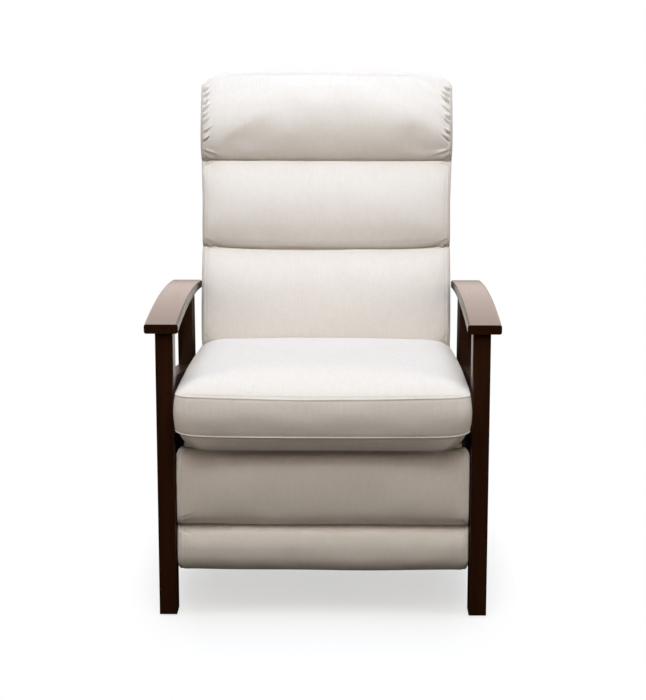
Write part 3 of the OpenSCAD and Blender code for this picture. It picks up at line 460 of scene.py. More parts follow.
def paint(piece, material):
    """Gives a piece one material, in all its slots or in a new one."""
    if not piece.material_slots:
        piece.data.materials.append(material)
    for slot in piece.material_slots:
        slot.material = material


# Finishes

WHITE_LINEN = ((0.88, 0.845, 0.81), (0.76, 0.715, 0.665))
upholstery = linen("off_white_linen", *WHITE_LINEN)
thread_cloth = linen("sewing_thread", (0.80, 0.77, 0.72), (0.66, 0.62, 0.56), 0.4)
ESPRESSO = ((0.014, 0.0045, 0.0018), (0.050, 0.017, 0.007))
BARE_BEECH = ((0.42, 0.27, 0.15), (0.66, 0.48, 0.30))
ACROSS, ALONG, UPRIGHT = range(3)
GRAINS = {ACROSS: "across", ALONG: "along", UPRIGHT: "upright"}
walnut = {axis: stained_wood("dark_walnut_" + name, axis, *ESPRESSO, 0.25)
          for axis, name in GRAINS.items()}
beech = {axis: stained_wood("bare_beech_" + name, axis, *BARE_BEECH, 0.0)
         for axis, name in GRAINS.items()}
black_steel = coated_steel("black_powder_coat", (0.012, 0.012, 0.013), 0.38)
zinc = plated_steel("zinc_plate")
black_strap = strap_cloth("black_webbing", (0.016, 0.016, 0.018), 0.0026)
dust_cloth = strap_cloth("dust_cloth", (0.02, 0.02, 0.022), 0.0012)
glide_plastic = plain_plastic("glide_plastic", (0.02, 0.018, 0.017))

for side in ("left_", "right_"):
    for kind in ("arm", "side_rail"):
        paint(nodes[side + kind], walnut[ALONG])
    for kind in ("front_leg", "rear_leg"):
        paint(nodes[side + kind], walnut[UPRIGHT])
    paint(nodes[side + "seat_rail"], beech[ALONG])
    paint(nodes[side + "back_stile"], beech[UPRIGHT])
    for kind in ("base_plate", "front_swing_link", "rear_swing_link", "seat_plate",
                 "back_bracket", "drive_link", "carrier_link", "parallel_link", "control_link",
                 "footrest_bracket"):
        paint(nodes[side + kind], black_steel)
paint(nodes["rear_cross_rail"], walnut[ACROSS])
for name in ("frame_dowels", "front_seat_rail", "rear_seat_rail", "top_back_rail",
             "lower_back_rail", "footrest_board"):
    paint(nodes[name], beech[ACROSS])
paint(nodes["front_cross_tube"], black_steel)
for name in ("base_plate_screws", "base_pivot_studs", "seat_plate_screws", "seat_pivot_studs",
             "back_bracket_bolts", "drive_shaft", "carrier_rod", "footrest_rivets",
             "footrest_screws"):
    paint(nodes[name], zinc)
paint(nodes["foot_glides"], glide_plastic)
paint(nodes["back_webbing"], black_strap)
paint(nodes["seat_deck"], dust_cloth)


# Seams

def seam_relief(distance, roll=0.0006, dip=0.0011):
    """A sewn seam: a low ridge on the line between two shallow dips."""
    ridge = roll * bell(distance, 0.0014)
    dips = dip * (bell(distance - 0.0033, 0.0022) + bell(distance + 0.0033, 0.0022)) / 2
    return ridge - dips


def crease(distance, depth, below, above):
    """A narrow cleft where two channels meet. Its depth dies away with the distance from
    the seam to the power of 1.5, over one width below the seam and another above it."""
    width = np.where(distance < 0, below, above)
    return depth * np.exp(-((np.abs(distance) / width) ** 1.5))


def gathers(edge, along, starts, lean, reach, depth, seed):
    """Short creases that run in from an edge: each is a narrow valley beside a low ridge,
    about a slanting line. It is a spindle, deepest before its middle."""
    dice = np.random.default_rng(seed)
    total = 0 * edge
    for start in starts:
        slope = lean * dice.uniform(0.7, 1.3)
        length = reach * dice.uniform(0.65, 1.25)
        deep = depth * dice.uniform(0.6, 1.25)
        off = along - start - dice.uniform(-0.003, 0.003) - slope * edge - 3 * edge ** 2
        fade = ease(edge / (0.35 * length)) * ease((length - edge) / (0.65 * length))
        total = total + deep * fade * (0.55 * bell(off - 0.0042, 0.0034) - bell(off, 0.0021))
    return total


def side_gathers(x, edge, along, starts, lean, reach, depth, seeds):
    """Gathers at the left and the right edge, each side with its own seed."""
    return sum(side * gathers(edge, along, starts, lean, reach, depth, seed)
               for side, seed in zip((x < 0, x > 0), seeds))


def stitches(name, path, normal, body, pitch=0.0042, length=0.0029, radius=0.00042):
    """Short threads along a path: each is a spindle whose radius falls off as a circle
    does, half sunk along the surface's normal."""
    steps = np.linalg.norm(np.diff(path, axis=0), axis=1)
    reach = np.concatenate([[0], np.cumsum(steps)])
    middle = np.arange(pitch, reach[-1] - pitch, pitch)

    def at(values, place):
        return np.stack([np.interp(place, reach, values[:, k]) for k in range(3)], -1)

    centre = at(path, middle)
    ahead = at(path, middle + length / 2) - at(path, middle - length / 2)
    ahead /= np.linalg.norm(ahead, axis=1, keepdims=True)
    up = at(normal, middle)
    up -= ahead * (up * ahead).sum(1, keepdims=True)
    up /= np.linalg.norm(up, axis=1, keepdims=True)
    out = np.cross(ahead, up)
    rows, sides = 5, 6
    along = np.linspace(-0.5, 0.5, rows)
    turn = 2 * np.pi * np.arange(sides) / sides
    wide = radius * np.sqrt(np.clip(1 - (2 * along) ** 2, 0.02, 1))
    ring = (centre[:, None, None] + (length * along)[None, :, None, None] * ahead[:, None, None]
            + wide[None, :, None, None] * (np.cos(turn)[None, None, :, None] * out[:, None, None]
                                           + np.sin(turn)[None, None, :, None] * up[:, None, None]))
    i, j = np.meshgrid(np.arange(rows - 1), np.arange(sides), indexing="ij")
    k = (j + 1) % sides
    quads = np.stack([i * sides + j, i * sides + k, (i + 1) * sides + k, (i + 1) * sides + j],
                     -1).reshape(-1, 4)
    first = (np.arange(len(ring)) * rows * sides)[:, None]
    quads = (quads[None] + first[..., None]).reshape(-1, 4)
    near_ends = first + np.arange(sides)[::-1]
    far_ends = first + (rows - 1) * sides + np.arange(sides)
    piece = smooth_mesh(name, ring.reshape(-1, 3),
                        quads.tolist() + near_ends.tolist() + far_ends.tolist())
    paint(lay_weave(piece), thread_cloth)
    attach(piece, body)


# Back cushion

# Heights are along the lean above the hinge, depths square to it.
SEAMS = (0.339, 0.533)
BACK_LOW, BACK_TOP = 0.092, 0.739
CUSHION_REAR = 0.0587
CORNER_HIGH, CORNER_WIDE = 0.038, 0.092
HEAD_FLARE = 0.0055
# How deep the seams lie, and how far the channels stand out from them
SEAM_DEPTH = 0.018
CROWN = 0.026
LOW_SWELL = 0.005
HEAD_SWELL = 0.012
CLEFT = 0.019
CLEFT_BELOW, CLEFT_ABOVE = 0.0020, 0.0054
# The head's roll: its length, its slope and how slowly it bends there, how much it
# flattens above a height, and the round edge at the top
HEAD_ROLL = 0.140
HEAD_SLOPE = 0.40
HEAD_BEND = 0.038
HEAD_FLAT, HEAD_FLAT_FROM = 1.0, 0.66
HEAD_EDGE, HEAD_EDGE_DEPTH = 0.014, 0.007
# The head's corners drop, and the lower seam sags in its middle
HEAD_ARCH, HEAD_ARCH_REACH = 0.004, 0.28
SEAM_SAG, SEAM_SAG_REACH = 0.0075, 0.26
BOXING = 0.0075
BACK_SWELL, BACK_CAP = 0.6, 0.022
BACK_COLUMNS, CHANNEL_ROWS, HEAD_ROWS = 150, 58, 146


def back_half(rise):
    """Half the back's width: straight, flared at the head, and a quarter ellipse at
    the top corners."""
    half = ARM_INNER - HEAD_FLARE + HEAD_FLARE * np.clip((rise - 0.440) / 0.120, 0, 1)
    top = np.clip((rise - (BACK_TOP - CORNER_HIGH)) / CORNER_HIGH, 0, 1)
    return half - CORNER_WIDE * (1 - np.sqrt(1 - top * top))


def back_face(rise):
    """Depth of the cushion's face: each channel swells by one minus a power of the
    distance from its middle, fuller low down, with a sharp crease at each seam. The head
    bends to an even slope and ends in a quarter ellipse."""
    low, high = SEAMS
    power = np.where(rise < low, 1.1, 0.76)
    fullest = 0.5 ** (1 / power)
    u = np.where(rise < low, (rise - BACK_LOW) / (low - BACK_LOW),
                 np.where(rise < high, (rise - low) / (high - low),
                          np.minimum(fullest, (rise - high) / (BACK_TOP - high) * 1.15)))
    roundness = np.where(rise > high, 2.0, 2.3)
    swell = 1 - np.abs(2 * np.clip(u, 0, 1) ** power - 1) ** roundness
    crown = CROWN + np.where(rise < low, LOW_SWELL, 0) + np.where(rise > high, HEAD_SWELL, 0)
    gone = np.maximum(rise - (BACK_TOP - HEAD_ROLL), 0)
    roll = HEAD_SLOPE * (gone - HEAD_BEND * (1 - np.exp(-gone / HEAD_BEND)))
    roll = roll - HEAD_FLAT * np.maximum(rise - HEAD_FLAT_FROM, 0) ** 2
    edge = np.clip((rise - (BACK_TOP - HEAD_EDGE)) / HEAD_EDGE, 0, 1)
    roll = roll + HEAD_EDGE_DEPTH * (1 - np.sqrt(1 - edge * edge))
    cleft = sum(crease(rise - seam, CLEFT, CLEFT_BELOW, CLEFT_ABOVE) for seam in SEAMS)
    return SEAM_DEPTH - crown * swell + roll + cleft


def head_drop(x, rise):
    """How far the head's top drops towards its corners: a square of the place across."""
    return HEAD_ARCH * (x / HEAD_ARCH_REACH) ** 2 * ease((rise - 0.60) / 0.12)


def pillow(half, front, rear, columns, side_power, depth_power):
    """Closed rings: a front face that falls away to the sides as (1 - |x|^a)^b, and a rear
    face that is nearly square. Gives the place across, the depth, the share of the width
    and which points are in front. Columns crowd at the sides as a sine does."""
    across = np.sin(np.pi / 2 * np.linspace(-1, 1, columns))
    share = np.concatenate([across, across[::-1][1:-1]])
    in_front = np.arange(len(share)) < columns
    front_fall = (1 - np.abs(share) ** np.reshape(side_power, (-1, 1))) ** depth_power
    rear_fall = np.sqrt(1 - np.abs(share) ** 60)
    middle, reach = (rear + front) / 2, (rear - front) / 2
    depth = middle[:, None] + reach[:, None] * np.where(in_front, -front_fall, rear_fall)
    return half[:, None] * share, depth, np.broadcast_to(share, depth.shape), in_front[None]


def back_cushion():
    """The three channels in rows along the lean, with gathers beside the head."""
    low, high = SEAMS
    head_steps = mix(np.linspace(0, 1, HEAD_ROWS), crowded(HEAD_ROWS), 0.6)
    rise = np.concatenate([mix(BACK_LOW, low, crowded(CHANNEL_ROWS))[:-1],
                           mix(low, high, crowded(CHANNEL_ROWS))[:-1],
                           mix(high, BACK_TOP - 0.0003, head_steps)])
    # The sides are rounder low down.
    side_power = mix(4.5, 6.667, ease((rise - 0.24) / 0.16))
    x, depth, share, front = pillow(back_half(rise), back_face(rise),
                                    np.full(len(rise), CUSHION_REAR), BACK_COLUMNS,
                                    side_power, 0.21)
    height = rise[:, None] + 0 * x
    height = height - head_drop(x, height)
    sagging = np.clip(1 - (x / SEAM_SAG_REACH) ** 4, 0, 1)
    height = height - SEAM_SAG * sagging * bell(height - low, 0.07)
    # The lower corners draw in as a quarter ellipse.
    foot = np.clip((0.140 - rise) / 0.045, 0, 1)[:, None]
    x = x * (1 - 0.035 * (1 - np.sqrt(1 - foot * foot)))
    points = leaning(x, depth, height)
    edge = (1 - np.abs(share)) * back_half(rise)[:, None]
    # The cloth swells between the two seams, the sides and the head's roll.
    near_seam = np.min([np.abs(rise - seam) for seam in SEAMS], 0)[:, None] < 0.003
    held = ~front | near_seam | (edge < 0.006) | (height < 0.15) | (height > 0.722)
    points = points + swelled("back_cushion", points, held, BACK_CAP) * BACK_SWELL
    # The boxing's seam down both sides.
    relief = seam_relief(edge - BOXING, 0.0004, 0.0011)
    # Gathers rise inwards from the head's side seams, and shorter ones at the other seams.
    starts = 0.569 + 0.0162 * np.arange(8)
    relief = relief + side_gathers(x, edge - 0.0045, height, starts, 0.75, 0.022, 0.0080,
                                   (11, 12))
    inward = edge - 0.003
    for seam, seed in zip(SEAMS, (21, 22)):
        above, below = seam + np.array([0.007, 0.016]), seam - np.array([0.006, 0.014])
        relief = relief + side_gathers(x, inward, height, above, -0.45, 0.040, 0.0042,
                                       (seed, seed))
        relief = relief + side_gathers(x, inward, height, below, 0.30, 0.034, 0.0030,
                                       (seed + 2, seed + 2))
    relief = relief + side_gathers(x, inward, height, np.array([0.117, 0.129]), 0.5, 0.032,
                                   0.0028, (29, 29))
    # Soft hills over the faces.
    relief = relief + 0.0008 * rolling(x, height, 0.20, 31) * ease(edge / 0.05)
    points = points + facing(points) * (front * relief)[..., None]
    piece = lay_weave(build("back_cushion_cover", points), -LEAN)
    paint(piece, upholstery)
    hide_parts("back_cushion")
    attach(piece, "back")


back_cushion()


# Seat cushion

# Heights above the underside, how far the front overhangs the legs, and how far the
# underside and the seams are drawn in
SEAT_LOW = BOARD_TOP + 0.0003
LOWER_SEAM = 0.0277
UPPER_SEAM = 0.101
SEAT_CROWN = 0.036
SEAT_FRONT = 0.060
TUCK = 0.022
DRAW = 0.004
# The crown rises to the rear, and its sides rise to the front
REAR_LIFT, SIDE_LIFT = 0.020, 0.007
CORNER_LIFT = 0.008
SEAT_SAG = 0.0055
BAND_SWELL = 0.004
SEAT_SWELL, SEAT_CAP = 0.5, 0.022
BASE_ROWS, TUCK_ROWS, BAND_ROWS, CROWN_ROWS = 12, 26, 40, 54
# The crown's last row, as a share of the way to its middle
CROWN_END = 0.985


def rounded_outline(corner, arc, side):
    """A unit square with round corners: a quarter circle, then a straight run, four
    times, each turned by a right angle."""
    turn = np.pi / 2 * np.arange(arc + 1) / arc
    bend = 1 - corner + corner * np.stack([np.cos(turn), np.sin(turn)], -1)
    run = (1 - corner) * (1 - 2 * np.arange(1, side + 1) / (side + 1))
    quarter = np.concatenate([bend, np.stack([run, np.ones(side)], -1)])
    whole = [quarter]
    for _ in range(3):
        quarter = np.stack([-quarter[:, 1], quarter[:, 0]], -1)
        whole.append(quarter)
    return np.concatenate(whole)


def seat_limit(height):
    """Setback that the seat's rear may reach: the back cushion's face above, and
    the line that clears the hinges below."""
    rise = height - HINGE[1]
    face = back_face(np.maximum(BACK_LOW, rise / math.cos(LEAN)))
    leaned = HINGE[0] + rise * math.tan(LEAN) + face / math.cos(LEAN) - 0.0015
    clear = HINGE[0] - 0.016 + np.maximum(0, rise - 0.030) * 0.95
    return np.minimum(leaned, clear)


def seat_cushion():
    """Rows from the middle of the underside, round the tuck and the band, to the
    middle of the crown."""
    outline = rounded_outline(0.1, 14, 50)
    ax, ay = outline[None, :, 0], outline[None, :, 1]
    a = np.pi / 2 * crowded(TUCK_ROWS)
    band = crowded(BAND_ROWS)[1:]
    inward = CROWN_END * np.linspace(0, 1, CROWN_ROWS)[1:] ** 1.7
    scale = np.concatenate([np.linspace(0.06, 0.98, BASE_ROWS), 0 * a + 1, 0 * band + 1,
                            1 - inward])
    inset = np.concatenate([np.full(BASE_ROWS, TUCK), DRAW + (TUCK - DRAW) * (1 - np.sin(a)),
                            DRAW * (1 - np.sin(np.pi * band)), np.full(len(inward), DRAW)])
    height = np.concatenate([np.zeros(BASE_ROWS), LOWER_SEAM * (1 - np.cos(a)),
                             mix(LOWER_SEAM, UPPER_SEAM, band),
                             UPPER_SEAM + SEAT_CROWN * (1 - (1 - inward) ** 7) ** 0.7])
    lower_row = BASE_ROWS + TUCK_ROWS - 1
    upper_row = lower_row + BAND_ROWS - 1
    scale, inset, height = (v[:, None] for v in (scale, inset, height))
    # The tuck is part round and part straight, rounder at the side corners.
    straight = TUCK - (TUCK - DRAW) * height / LOWER_SEAM
    share = np.where(height < LOWER_SEAM, mix(0.85, 0.30, np.abs(ax) ** 6), 0) * (scale > 0.99)
    inset = mix(inset, straight, share)
    rear = (ay + 1) / 2
    lift = REAR_LIFT * rear ** 3 * (1 - 0.85 * ax * ax) + SIDE_LIFT * ax * ax * (1 - rear)
    above = np.where(height <= UPPER_SEAM, height / UPPER_SEAM,
                     1 - (height - UPPER_SEAM) / SEAT_CROWN)
    # Both front corners draw the lower seam up.
    seam_share = np.minimum(height / LOWER_SEAM, (UPPER_SEAM - height) / (UPPER_SEAM - LOWER_SEAM))
    corner = CORNER_LIFT * np.abs(ax) ** 10 * ease(1 - 2 * rear) * np.clip(seam_share, 0, 1)
    z = SEAT_LOW + height + lift * above + corner
    limit = seat_limit(z)
    half = LEG_INNER - 0.0015 - 0.014 * rear ** 3
    tuck = np.where(inset <= DRAW + 1e-9, 1, 1 + 1.4 * ax ** 4 + 0.8 * rear * rear)
    middle, reach = (limit - SEAT_FRONT) / 2, (limit + SEAT_FRONT) / 2
    x = ax * scale * (half - tuck * inset)
    setback = middle + ay * scale * (reach - inset - DRAW * (1 - ax * ax))
    # The overhang in front of the board sags, and takes the lower seam with it.
    hang = SEAT_SAG * ease(-setback / 0.030) * (1 - ease((height + 0.004) / 0.066))
    setback = setback - BAND_SWELL * ease(-setback / 0.04) * (1 - ax ** 6) * np.sin(
        np.pi * np.clip((height - LOWER_SEAM) / (UPPER_SEAM - LOWER_SEAM), 0, 1))
    points = chair(x, setback, z - hang)
    # The cloth swells between the two seams and over the crown, but not into the legs.
    row = np.arange(len(points))[:, None]
    held = (row <= lower_row) | (row == upper_row) | (row == upper_row + 1)
    held = held | (ay > 0.86) & (height > 0.04) | (row < upper_row) & (np.abs(ax) > 0.9)
    points = points + swelled("seat_cushion", points, held, SEAT_CAP) * SEAT_SWELL
    points[..., 0] = np.clip(points[..., 0], 0.0012 - LEG_INNER, LEG_INNER - 0.0012)
    gone = travelled(points)
    lower, upper = gone - gone[lower_row], gone - gone[upper_row]
    relief = seam_relief(upper, 0.0005, 0.0007) + seam_relief(lower, 0.0009, 0.0008)
    around = travelled(points[upper_row][:, None]).T + 0 * upper
    # Needle puckers beside both seams.
    relief = relief + 0.00045 * ripple(around, 0.0105, 41) * bell(upper, 0.011)
    relief = relief + 0.00035 * ripple(around, 0.012, 42) * bell(lower, 0.009)
    # Soft hills on the crown and the band.
    relief = relief + 0.0008 * rolling(x, setback, 0.24, 51) * ease((upper - 0.012) / 0.06)
    band_hills = 0.0007 * rolling(around, 3 * z, 0.16, 52) * (height > 0.01)
    relief = relief + band_hills * bell((lower + upper) / 2, 0.03)
    points = points + facing(points) * relief[..., None]
    piece = lay_weave(build("seat_cushion_cover", points))
    paint(piece, upholstery)
    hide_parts("seat_cushion")
    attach(piece, "seat")
    normal = facing(points)
    for row, step, name in ((upper_row, 0.0062, "upper"), (lower_row, -0.0058, "lower")):
        place = np.argmin(np.abs(gone - gone[row] - step), axis=0)
        column = np.arange(points.shape[1])
        path, up = (np.vstack([v, v[:1]]) for v in (points[place, column], normal[place, column]))
        stitches("seat_%s_stitches" % name, path + up * 0.0001, up, "seat")


seat_cushion()


# Footrest pad

PAD_FRONT, PAD_REAR = -0.008, 0.032
PAD_LOW, PAD_SEAM = 0.0965, 0.188
PAD_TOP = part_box("footrest_pad")[1].z
PAD_SAG = 0.0015
PAD_EDGE = 0.014
PAD_SWELL, PAD_CAP = 0.4, 0.016


def pad_face(height):
    """Setback of the pad's face: two channels that fall away with a power of the
    distance from their middles. The upper one hangs full over the seam."""
    low = height < PAD_SEAM
    u = np.where(low, (height - PAD_LOW) / (PAD_SEAM - PAD_LOW),
                 (height - PAD_SEAM) / (PAD_TOP - PAD_SEAM))
    power = np.where(u > 0.5, np.where(low, 2.0, 4.5), np.where(low, 3.4, 7.0))
    deep = np.where((u > 0.5) & ~low, 0.022, 0.016)
    cleft = crease(height - PAD_SEAM, 0.015, 0.0075, 0.0020)
    return PAD_FRONT + deep * np.abs(2 * u - 1) ** power + cleft


def footrest_pad():
    """Rows up the pad, with a boxing seam down each side and puckers at the channel."""
    height = np.concatenate([mix(PAD_LOW, PAD_SEAM, crowded(48))[:-1],
                             mix(PAD_SEAM, PAD_TOP, crowded(56))])
    low = np.clip(1 - (height - PAD_LOW) / PAD_EDGE, 0, 1)
    high = np.clip(1 - (PAD_TOP - height) / PAD_EDGE, 0, 1)
    half = LEG_INNER - 0.002 - 0.004 * low ** 2 - 0.008 * high ** 2
    x, depth, share, front = pillow(half, pad_face(height), np.full(len(height), PAD_REAR),
                                    140, 8.333, 0.2)
    hang = PAD_SAG * (1 - (x / 0.28) ** 2) * bell(height[:, None] - PAD_LOW, 0.04)
    points = chair(x, depth, height[:, None] - hang)
    edge = (1 - np.abs(share)) * half[:, None]
    up = height[:, None] + 0 * x
    held = ~front | (np.abs(up - PAD_SEAM) < 0.003) | (edge < 0.006) | (up < PAD_LOW + 0.006) | (
        up > PAD_TOP - 0.012)
    points = points + swelled("footrest_pad", points, held, PAD_CAP) * PAD_SWELL
    relief = seam_relief(edge - 0.010, 0.0009, 0.0012)
    above, below = PAD_SEAM + np.array([0.005, 0.012]), PAD_SEAM - np.array([0.005, 0.011])
    relief = relief + side_gathers(x, edge - 0.004, up, above, 0.35, 0.03, 0.0016, (61, 63))
    relief = relief + side_gathers(x, edge - 0.004, up, below, -0.35, 0.03, 0.0016, (62, 64))
    relief = relief + 0.0008 * rolling(x, up, 0.16, 62) * ease(edge / 0.04)
    points = points + facing(points) * (front * relief)[..., None]
    piece = lay_weave(build("footrest_pad_cover", points))
    paint(piece, upholstery)
    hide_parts("footrest_pad")
    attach(piece, "footrest")


footrest_pad()


# Covered front board

BOARD_EDGE = 0.16


def front_board():
    """A box with round edges: a superellipsoid's two angles, each sine and cosine raised
    to a small power."""
    low, high = (np.array(corner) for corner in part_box("seat_front_board"))
    turn = np.linspace(-np.pi, np.pi, 160, endpoint=False)[None]
    tilt = np.linspace(-np.pi / 2 + 0.02, np.pi / 2 - 0.02, 48)[:, None]

    def soft(value):
        return np.sign(value) * np.abs(value) ** BOARD_EDGE

    shape = np.stack(np.broadcast_arrays(soft(np.cos(tilt)) * soft(np.cos(turn)),
                                         soft(np.cos(tilt)) * soft(np.sin(turn)),
                                         soft(np.sin(tilt))), -1)
    piece = lay_weave(build("front_board_cover", (low + high) / 2 + shape * (high - low) / 2))
    paint(piece, upholstery)
    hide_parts("seat_front_board")
    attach(piece, "seat")


front_board()


# Outer back

COVER_THICK = 0.0025


def outer_back():
    """Rows up the lean and then over the top. Each row runs down one side, across the
    rear and up the other side, with round corners."""
    front, rear, corner = 0.054, 0.116, 0.012
    bend = np.pi / 2 * np.arange(1, 9) / 8
    over = np.sin(np.linspace(0, np.pi / 2, 18))[1:]
    rise = np.concatenate([np.linspace(0.070, 0.700, 60), BACK_TOP - CORNER_HIGH * (1 - over)])
    half = back_half(np.minimum(rise, BACK_TOP - 1e-6))[:, None] - 0.002
    inward = np.concatenate([np.zeros(10), corner * (1 - np.cos(bend))])[None]
    across = (half - corner) * np.linspace(1, 0, 41)[None, 1:]
    left = -np.concatenate([half - inward, across], 1)
    x = np.concatenate([left, -left[:, ::-1][:, 1:]], 1)
    depth = np.concatenate([np.linspace(front, rear - corner, 10),
                            rear - corner + corner * np.sin(bend), np.full(40, rear)])
    depth = np.concatenate([depth, depth[::-1][1:]])[None]
    # The rear bows out a little, as a parabola across and a sine up.
    bow = 0.0025 * np.clip(1 - (x / 0.27) ** 2, 0, 1)
    bow = bow * np.sin(np.pi * (rise[:, None] - 0.07) / 0.67).clip(0, 1)
    crowned = depth + bow * (depth > rear - 1e-9)
    arch = head_drop(x, rise[:, None])
    points = leaning(x, crowned, rise[:, None] - arch)
    lid = np.linspace(0, 1, 12)[1:, None]
    lid_depth = mix(crowned[-1][None], front, lid)
    lid_points = leaning(np.repeat(x[-1:], 11, 0), lid_depth, BACK_TOP - arch[-1:] + 0 * lid_depth)
    edge = np.abs(x).max(1, keepdims=True) - np.abs(x)
    relief = np.where(crowned > rear - 0.001, 1, 0) * seam_relief(edge - 0.020, 0.0010, 0.0010)
    relief = relief + 0.0008 * rolling(x, rise[:, None] + 0 * x, 0.2, 71)
    # It is flat where it meets the lid.
    relief = relief * ease((BACK_TOP - rise[:, None] - 0.004) / 0.030)
    points = points + facing(points, False) * relief[..., None]
    return np.concatenate([points, lid_points])


outer_piece = build("outer_back_cover", outer_back(), around=False, low_cap=False, high_cap=False)
lay_weave(outer_piece, -LEAN)
paint(outer_piece, upholstery)
thickness = outer_piece.modifiers.new("cloth_thickness", "SOLIDIFY")
thickness.thickness = COVER_THICK
thickness.offset = -1
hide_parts("back_cover")
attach(outer_piece, "back")


# Springs

def seat_springs():
    """Sinuous wires: each swings across the seat as a sine of its setback."""
    low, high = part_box("seat_springs")
    radius = (high.z - low.z) / 2
    swing, waves, spacing = 0.024, 6, 0.114
    steps = np.linspace(0, 1, 24 * waves + 1)
    setback = mix(low.y + radius - LEG_FRONT, high.y - radius - LEG_FRONT, steps)
    for number in (1, 2, 3):
        x = (number - 2) * spacing + swing * np.sin(2 * np.pi * waves * steps)
        path = chair(x, setback, (low.z + high.z) / 2)
        yield tube("seat_spring_%d" % number, path, radius, (0, 0, 1))


def return_spring(name, side):
    """Torsion spring: a helix round the front base stud with a straight tail at each
    end, its turns running along its own length. It keeps this one shape as the swing link turns."""
    base = SEAT_PIVOT - 0.090 * np.array([math.sin(SWING_LEAN), math.cos(SWING_LEAN)])
    low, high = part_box(name)
    radius = 0.00125
    inner, outer = sorted((abs(low.x), abs(high.x)))
    inner, outer = inner + radius, outer - radius
    first = np.pi - SWING_LEAN
    steps = np.linspace(0, 1, 97)
    turn = first + (7.5 * np.pi - first) * steps
    coil = np.stack([mix(inner, outer, steps), base[0] + 0.012 * np.cos(turn),
                     base[1] + 0.012 * np.sin(turn)], -1)
    away = 0.030 * np.linspace(1, 0.05, 12)[:, None]
    front_tail = coil[0] + away * [0, math.sin(SWING_LEAN), math.cos(SWING_LEAN)]
    rear_tail = coil[-1] + away[::-1] * [0, 1, 0]
    path = np.concatenate([front_tail, coil, rear_tail])
    piece = tube(name + "_wire", chair(side * path[:, 0], path[:, 1], path[:, 2]), radius,
                 (side, 0.001, 0.002))
    paint(piece, zinc)
    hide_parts(name)
    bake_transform(piece)


spring_pieces = list(seat_springs())
for piece in spring_pieces:
    paint(piece, zinc)
    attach(piece, "seat")
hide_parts("seat_springs")
return_spring("left_return_spring", -1)
return_spring("right_return_spring", 1)


# Studio

# The floor's shaded part ends between two distances, and nearer across than along.
FLOOR_NEAR, FLOOR_FAR = 0.70, 1.0
FLOOR_NARROW = 2.4
FLOOR_REACH = 160.0
FLOOR_PALE, FLOOR_DIM, FLOOR_GLOW = 0.49, 0.08, 0.54
FLOOR_TINT = (0.98, 1.0, 1.02)
BLACK = (0.0, 0.0, 0.0)
WHITE = (1.0, 1.0, 1.0)
WORLD_DIM, WALL_WHITE, ROOM_DARK = 0.11, 2.0, 0.02
WALL_COLOUR = (1.3, 1.12, 1.03)
WARM = (1.26, 1.0, 0.66)
COOL_LIGHT, PLAIN_LIGHT, WARM_LIGHT = (0.86, 1.0, 1.28), (0.93, 1.0, 0.98), (1.13, 1.0, 0.92)
# The photograph's camera, fitted to the chair's edges
FOCAL_PIXELS = 1835.49
PICTURE_HEIGHT = 700
SENSOR = 36
CAMERA_PLACE = (0.0489, -3.5346 + LEG_FRONT, 1.2531)
CAMERA_DOWN, CAMERA_TURN = 0.1966, 0.0137


def light_kinds(graph):
    """Which rays see the studio itself, and which of those are reflections."""
    camera, glossy, through = (graph.add("LightPath", output=key) for key in (
        "Is Camera Ray", "Is Glossy Ray", "Is Transmission Ray"))
    return (camera + through).between(0, 1), glossy


def studio_floor():
    """A floor that looks white, and grey where the chair shades it. Away from the chair
    it glows white, and for light that bounces it is dim."""
    mesh = bpy.data.meshes.new("studio_floor")
    corners = FLOOR_REACH * np.array([(-1, -1, 0), (1, -1, 0), (1, 1, 0), (-1, 1, 0)])
    mesh.from_pydata(corners.tolist(), [], [(0, 1, 2, 3)])
    floor = placed("studio_floor", mesh)
    finish = Finish("studio_white", Roughness=1.0, Specular_IOR_Level=0.0, Emission_Strength=1.0)
    seen, glossy = light_kinds(finish)
    place = finish.add("TexCoord", None, (), 3)
    place = finish.add("Mapping", None, {"Vector": place, "Scale": (FLOOR_NARROW, 1.0, 1.0)})
    distance = finish.add("VectorMath", {"operation": "LENGTH"}, [place], 1)
    far = distance.step(FLOOR_NEAR, FLOOR_FAR)
    shaded = (seen * (FLOOR_PALE - FLOOR_DIM) + FLOOR_DIM) * (1 - glossy)
    glow = seen * (far * (1 - FLOOR_GLOW) + FLOOR_GLOW)
    finish.put(finish.shader, {
        "Base Color": finish.blend(far, finish.blend(shaded, BLACK, FLOOR_TINT), BLACK),
        "Emission Color": finish.blend(glow, BLACK, WHITE)})
    mesh.materials.append(finish.material)


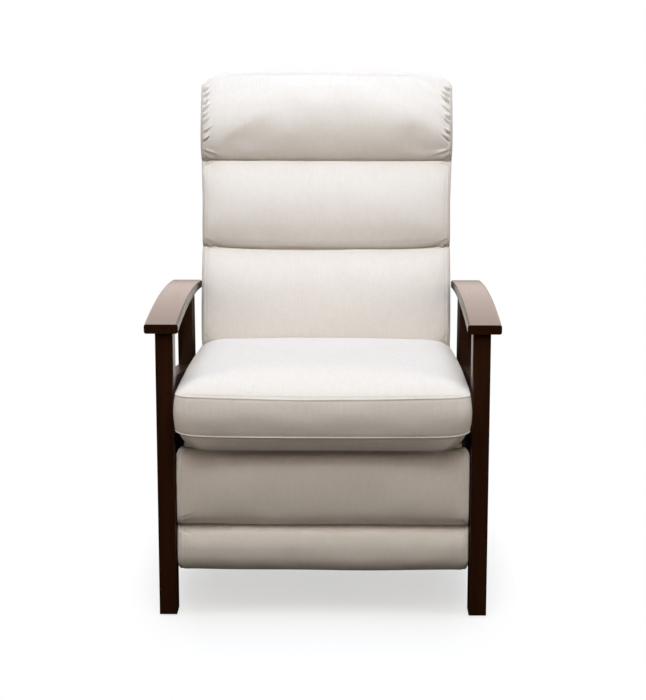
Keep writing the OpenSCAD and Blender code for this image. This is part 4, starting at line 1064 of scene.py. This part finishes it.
def studio_world():
    """White to the eye. Reflections see a white wall behind the chair and a dark room in
    front of it, and the chair gets a dim even light."""
    world = bpy.data.worlds.new("studio")
    world.use_nodes = True
    bpy.context.scene.world = world
    sky = Graph(world.node_tree)
    seen, glossy = light_kinds(sky)
    rearward = sky.parts(sky.add("TexCoord", None, (), 0))[1]
    wall = rearward.step(-0.15, 0.35) * (WALL_WHITE - ROOM_DARK) + ROOM_DARK
    even = tuple(WORLD_DIM * c for c in WARM)
    plain = sky.blend(glossy, even, sky.blend(wall, BLACK, WALL_COLOUR))
    sky.put(sky.tree.nodes["Background"], {"Color": sky.blend(seen, plain, WHITE),
                                           "Strength": 1.0})


def soft_lamp(name, place, target, width, power, colour, mirrored=True):
    """A square lamp aimed from its place to a target. Gloss may not show it."""
    lamp = bpy.data.lights.new(name, "AREA")
    lamp.shape = "SQUARE"
    lamp.size = width
    lamp.energy = power
    lamp.color = colour
    thing = placed(name, lamp)
    thing.location = place
    aim = np.array(target, float) - np.array(place, float)
    flat = math.hypot(aim[0], aim[1])
    thing.rotation_euler = (math.atan2(flat, -aim[2]), 0, math.atan2(aim[0], -aim[1]) + math.pi)
    thing.visible_glossy = mirrored


def photograph_camera():
    """The camera that the photograph's edges give: 11 degrees down, 3.5 m away."""
    camera = bpy.data.cameras.new("photograph_camera")
    camera.lens = FOCAL_PIXELS * SENSOR / PICTURE_HEIGHT
    camera.sensor_width = SENSOR
    camera.clip_end = 400
    thing = placed("photograph_camera", camera)
    thing.location = CAMERA_PLACE
    thing.rotation_euler = (math.pi / 2 - CAMERA_DOWN, 0, CAMERA_TURN)
    bpy.context.scene.camera = thing


studio_floor()
studio_world()
soft_lamp("overhead_lamp", (0, 0, 3.0), (0, 0, 0.5), 2.4, 36, COOL_LIGHT)
soft_lamp("key_lamp", (0, -1.4, 2.8), (0, 0, 0.5), 1.6, 29.5, PLAIN_LIGHT)
soft_lamp("front_lamp", (0, -2.6, 2.3), (0, 0, 0.5), 1.8, 23, WARM_LIGHT)
soft_lamp("left_lamp", (-3.2, -0.8, 1.3), (0, 0, 0.6), 1.8, 18, WARM_LIGHT, False)
soft_lamp("right_lamp", (3.2, -0.8, 1.3), (0, 0, 0.6), 1.8, 18, WARM_LIGHT, False)
soft_lamp("rear_lamp", (0, 3.4, 2.2), (0, 0, 0.6), 1.8, 34, PLAIN_LIGHT, False)
photograph_camera()
bpy.context.scene.view_settings.view_transform = "Standard"
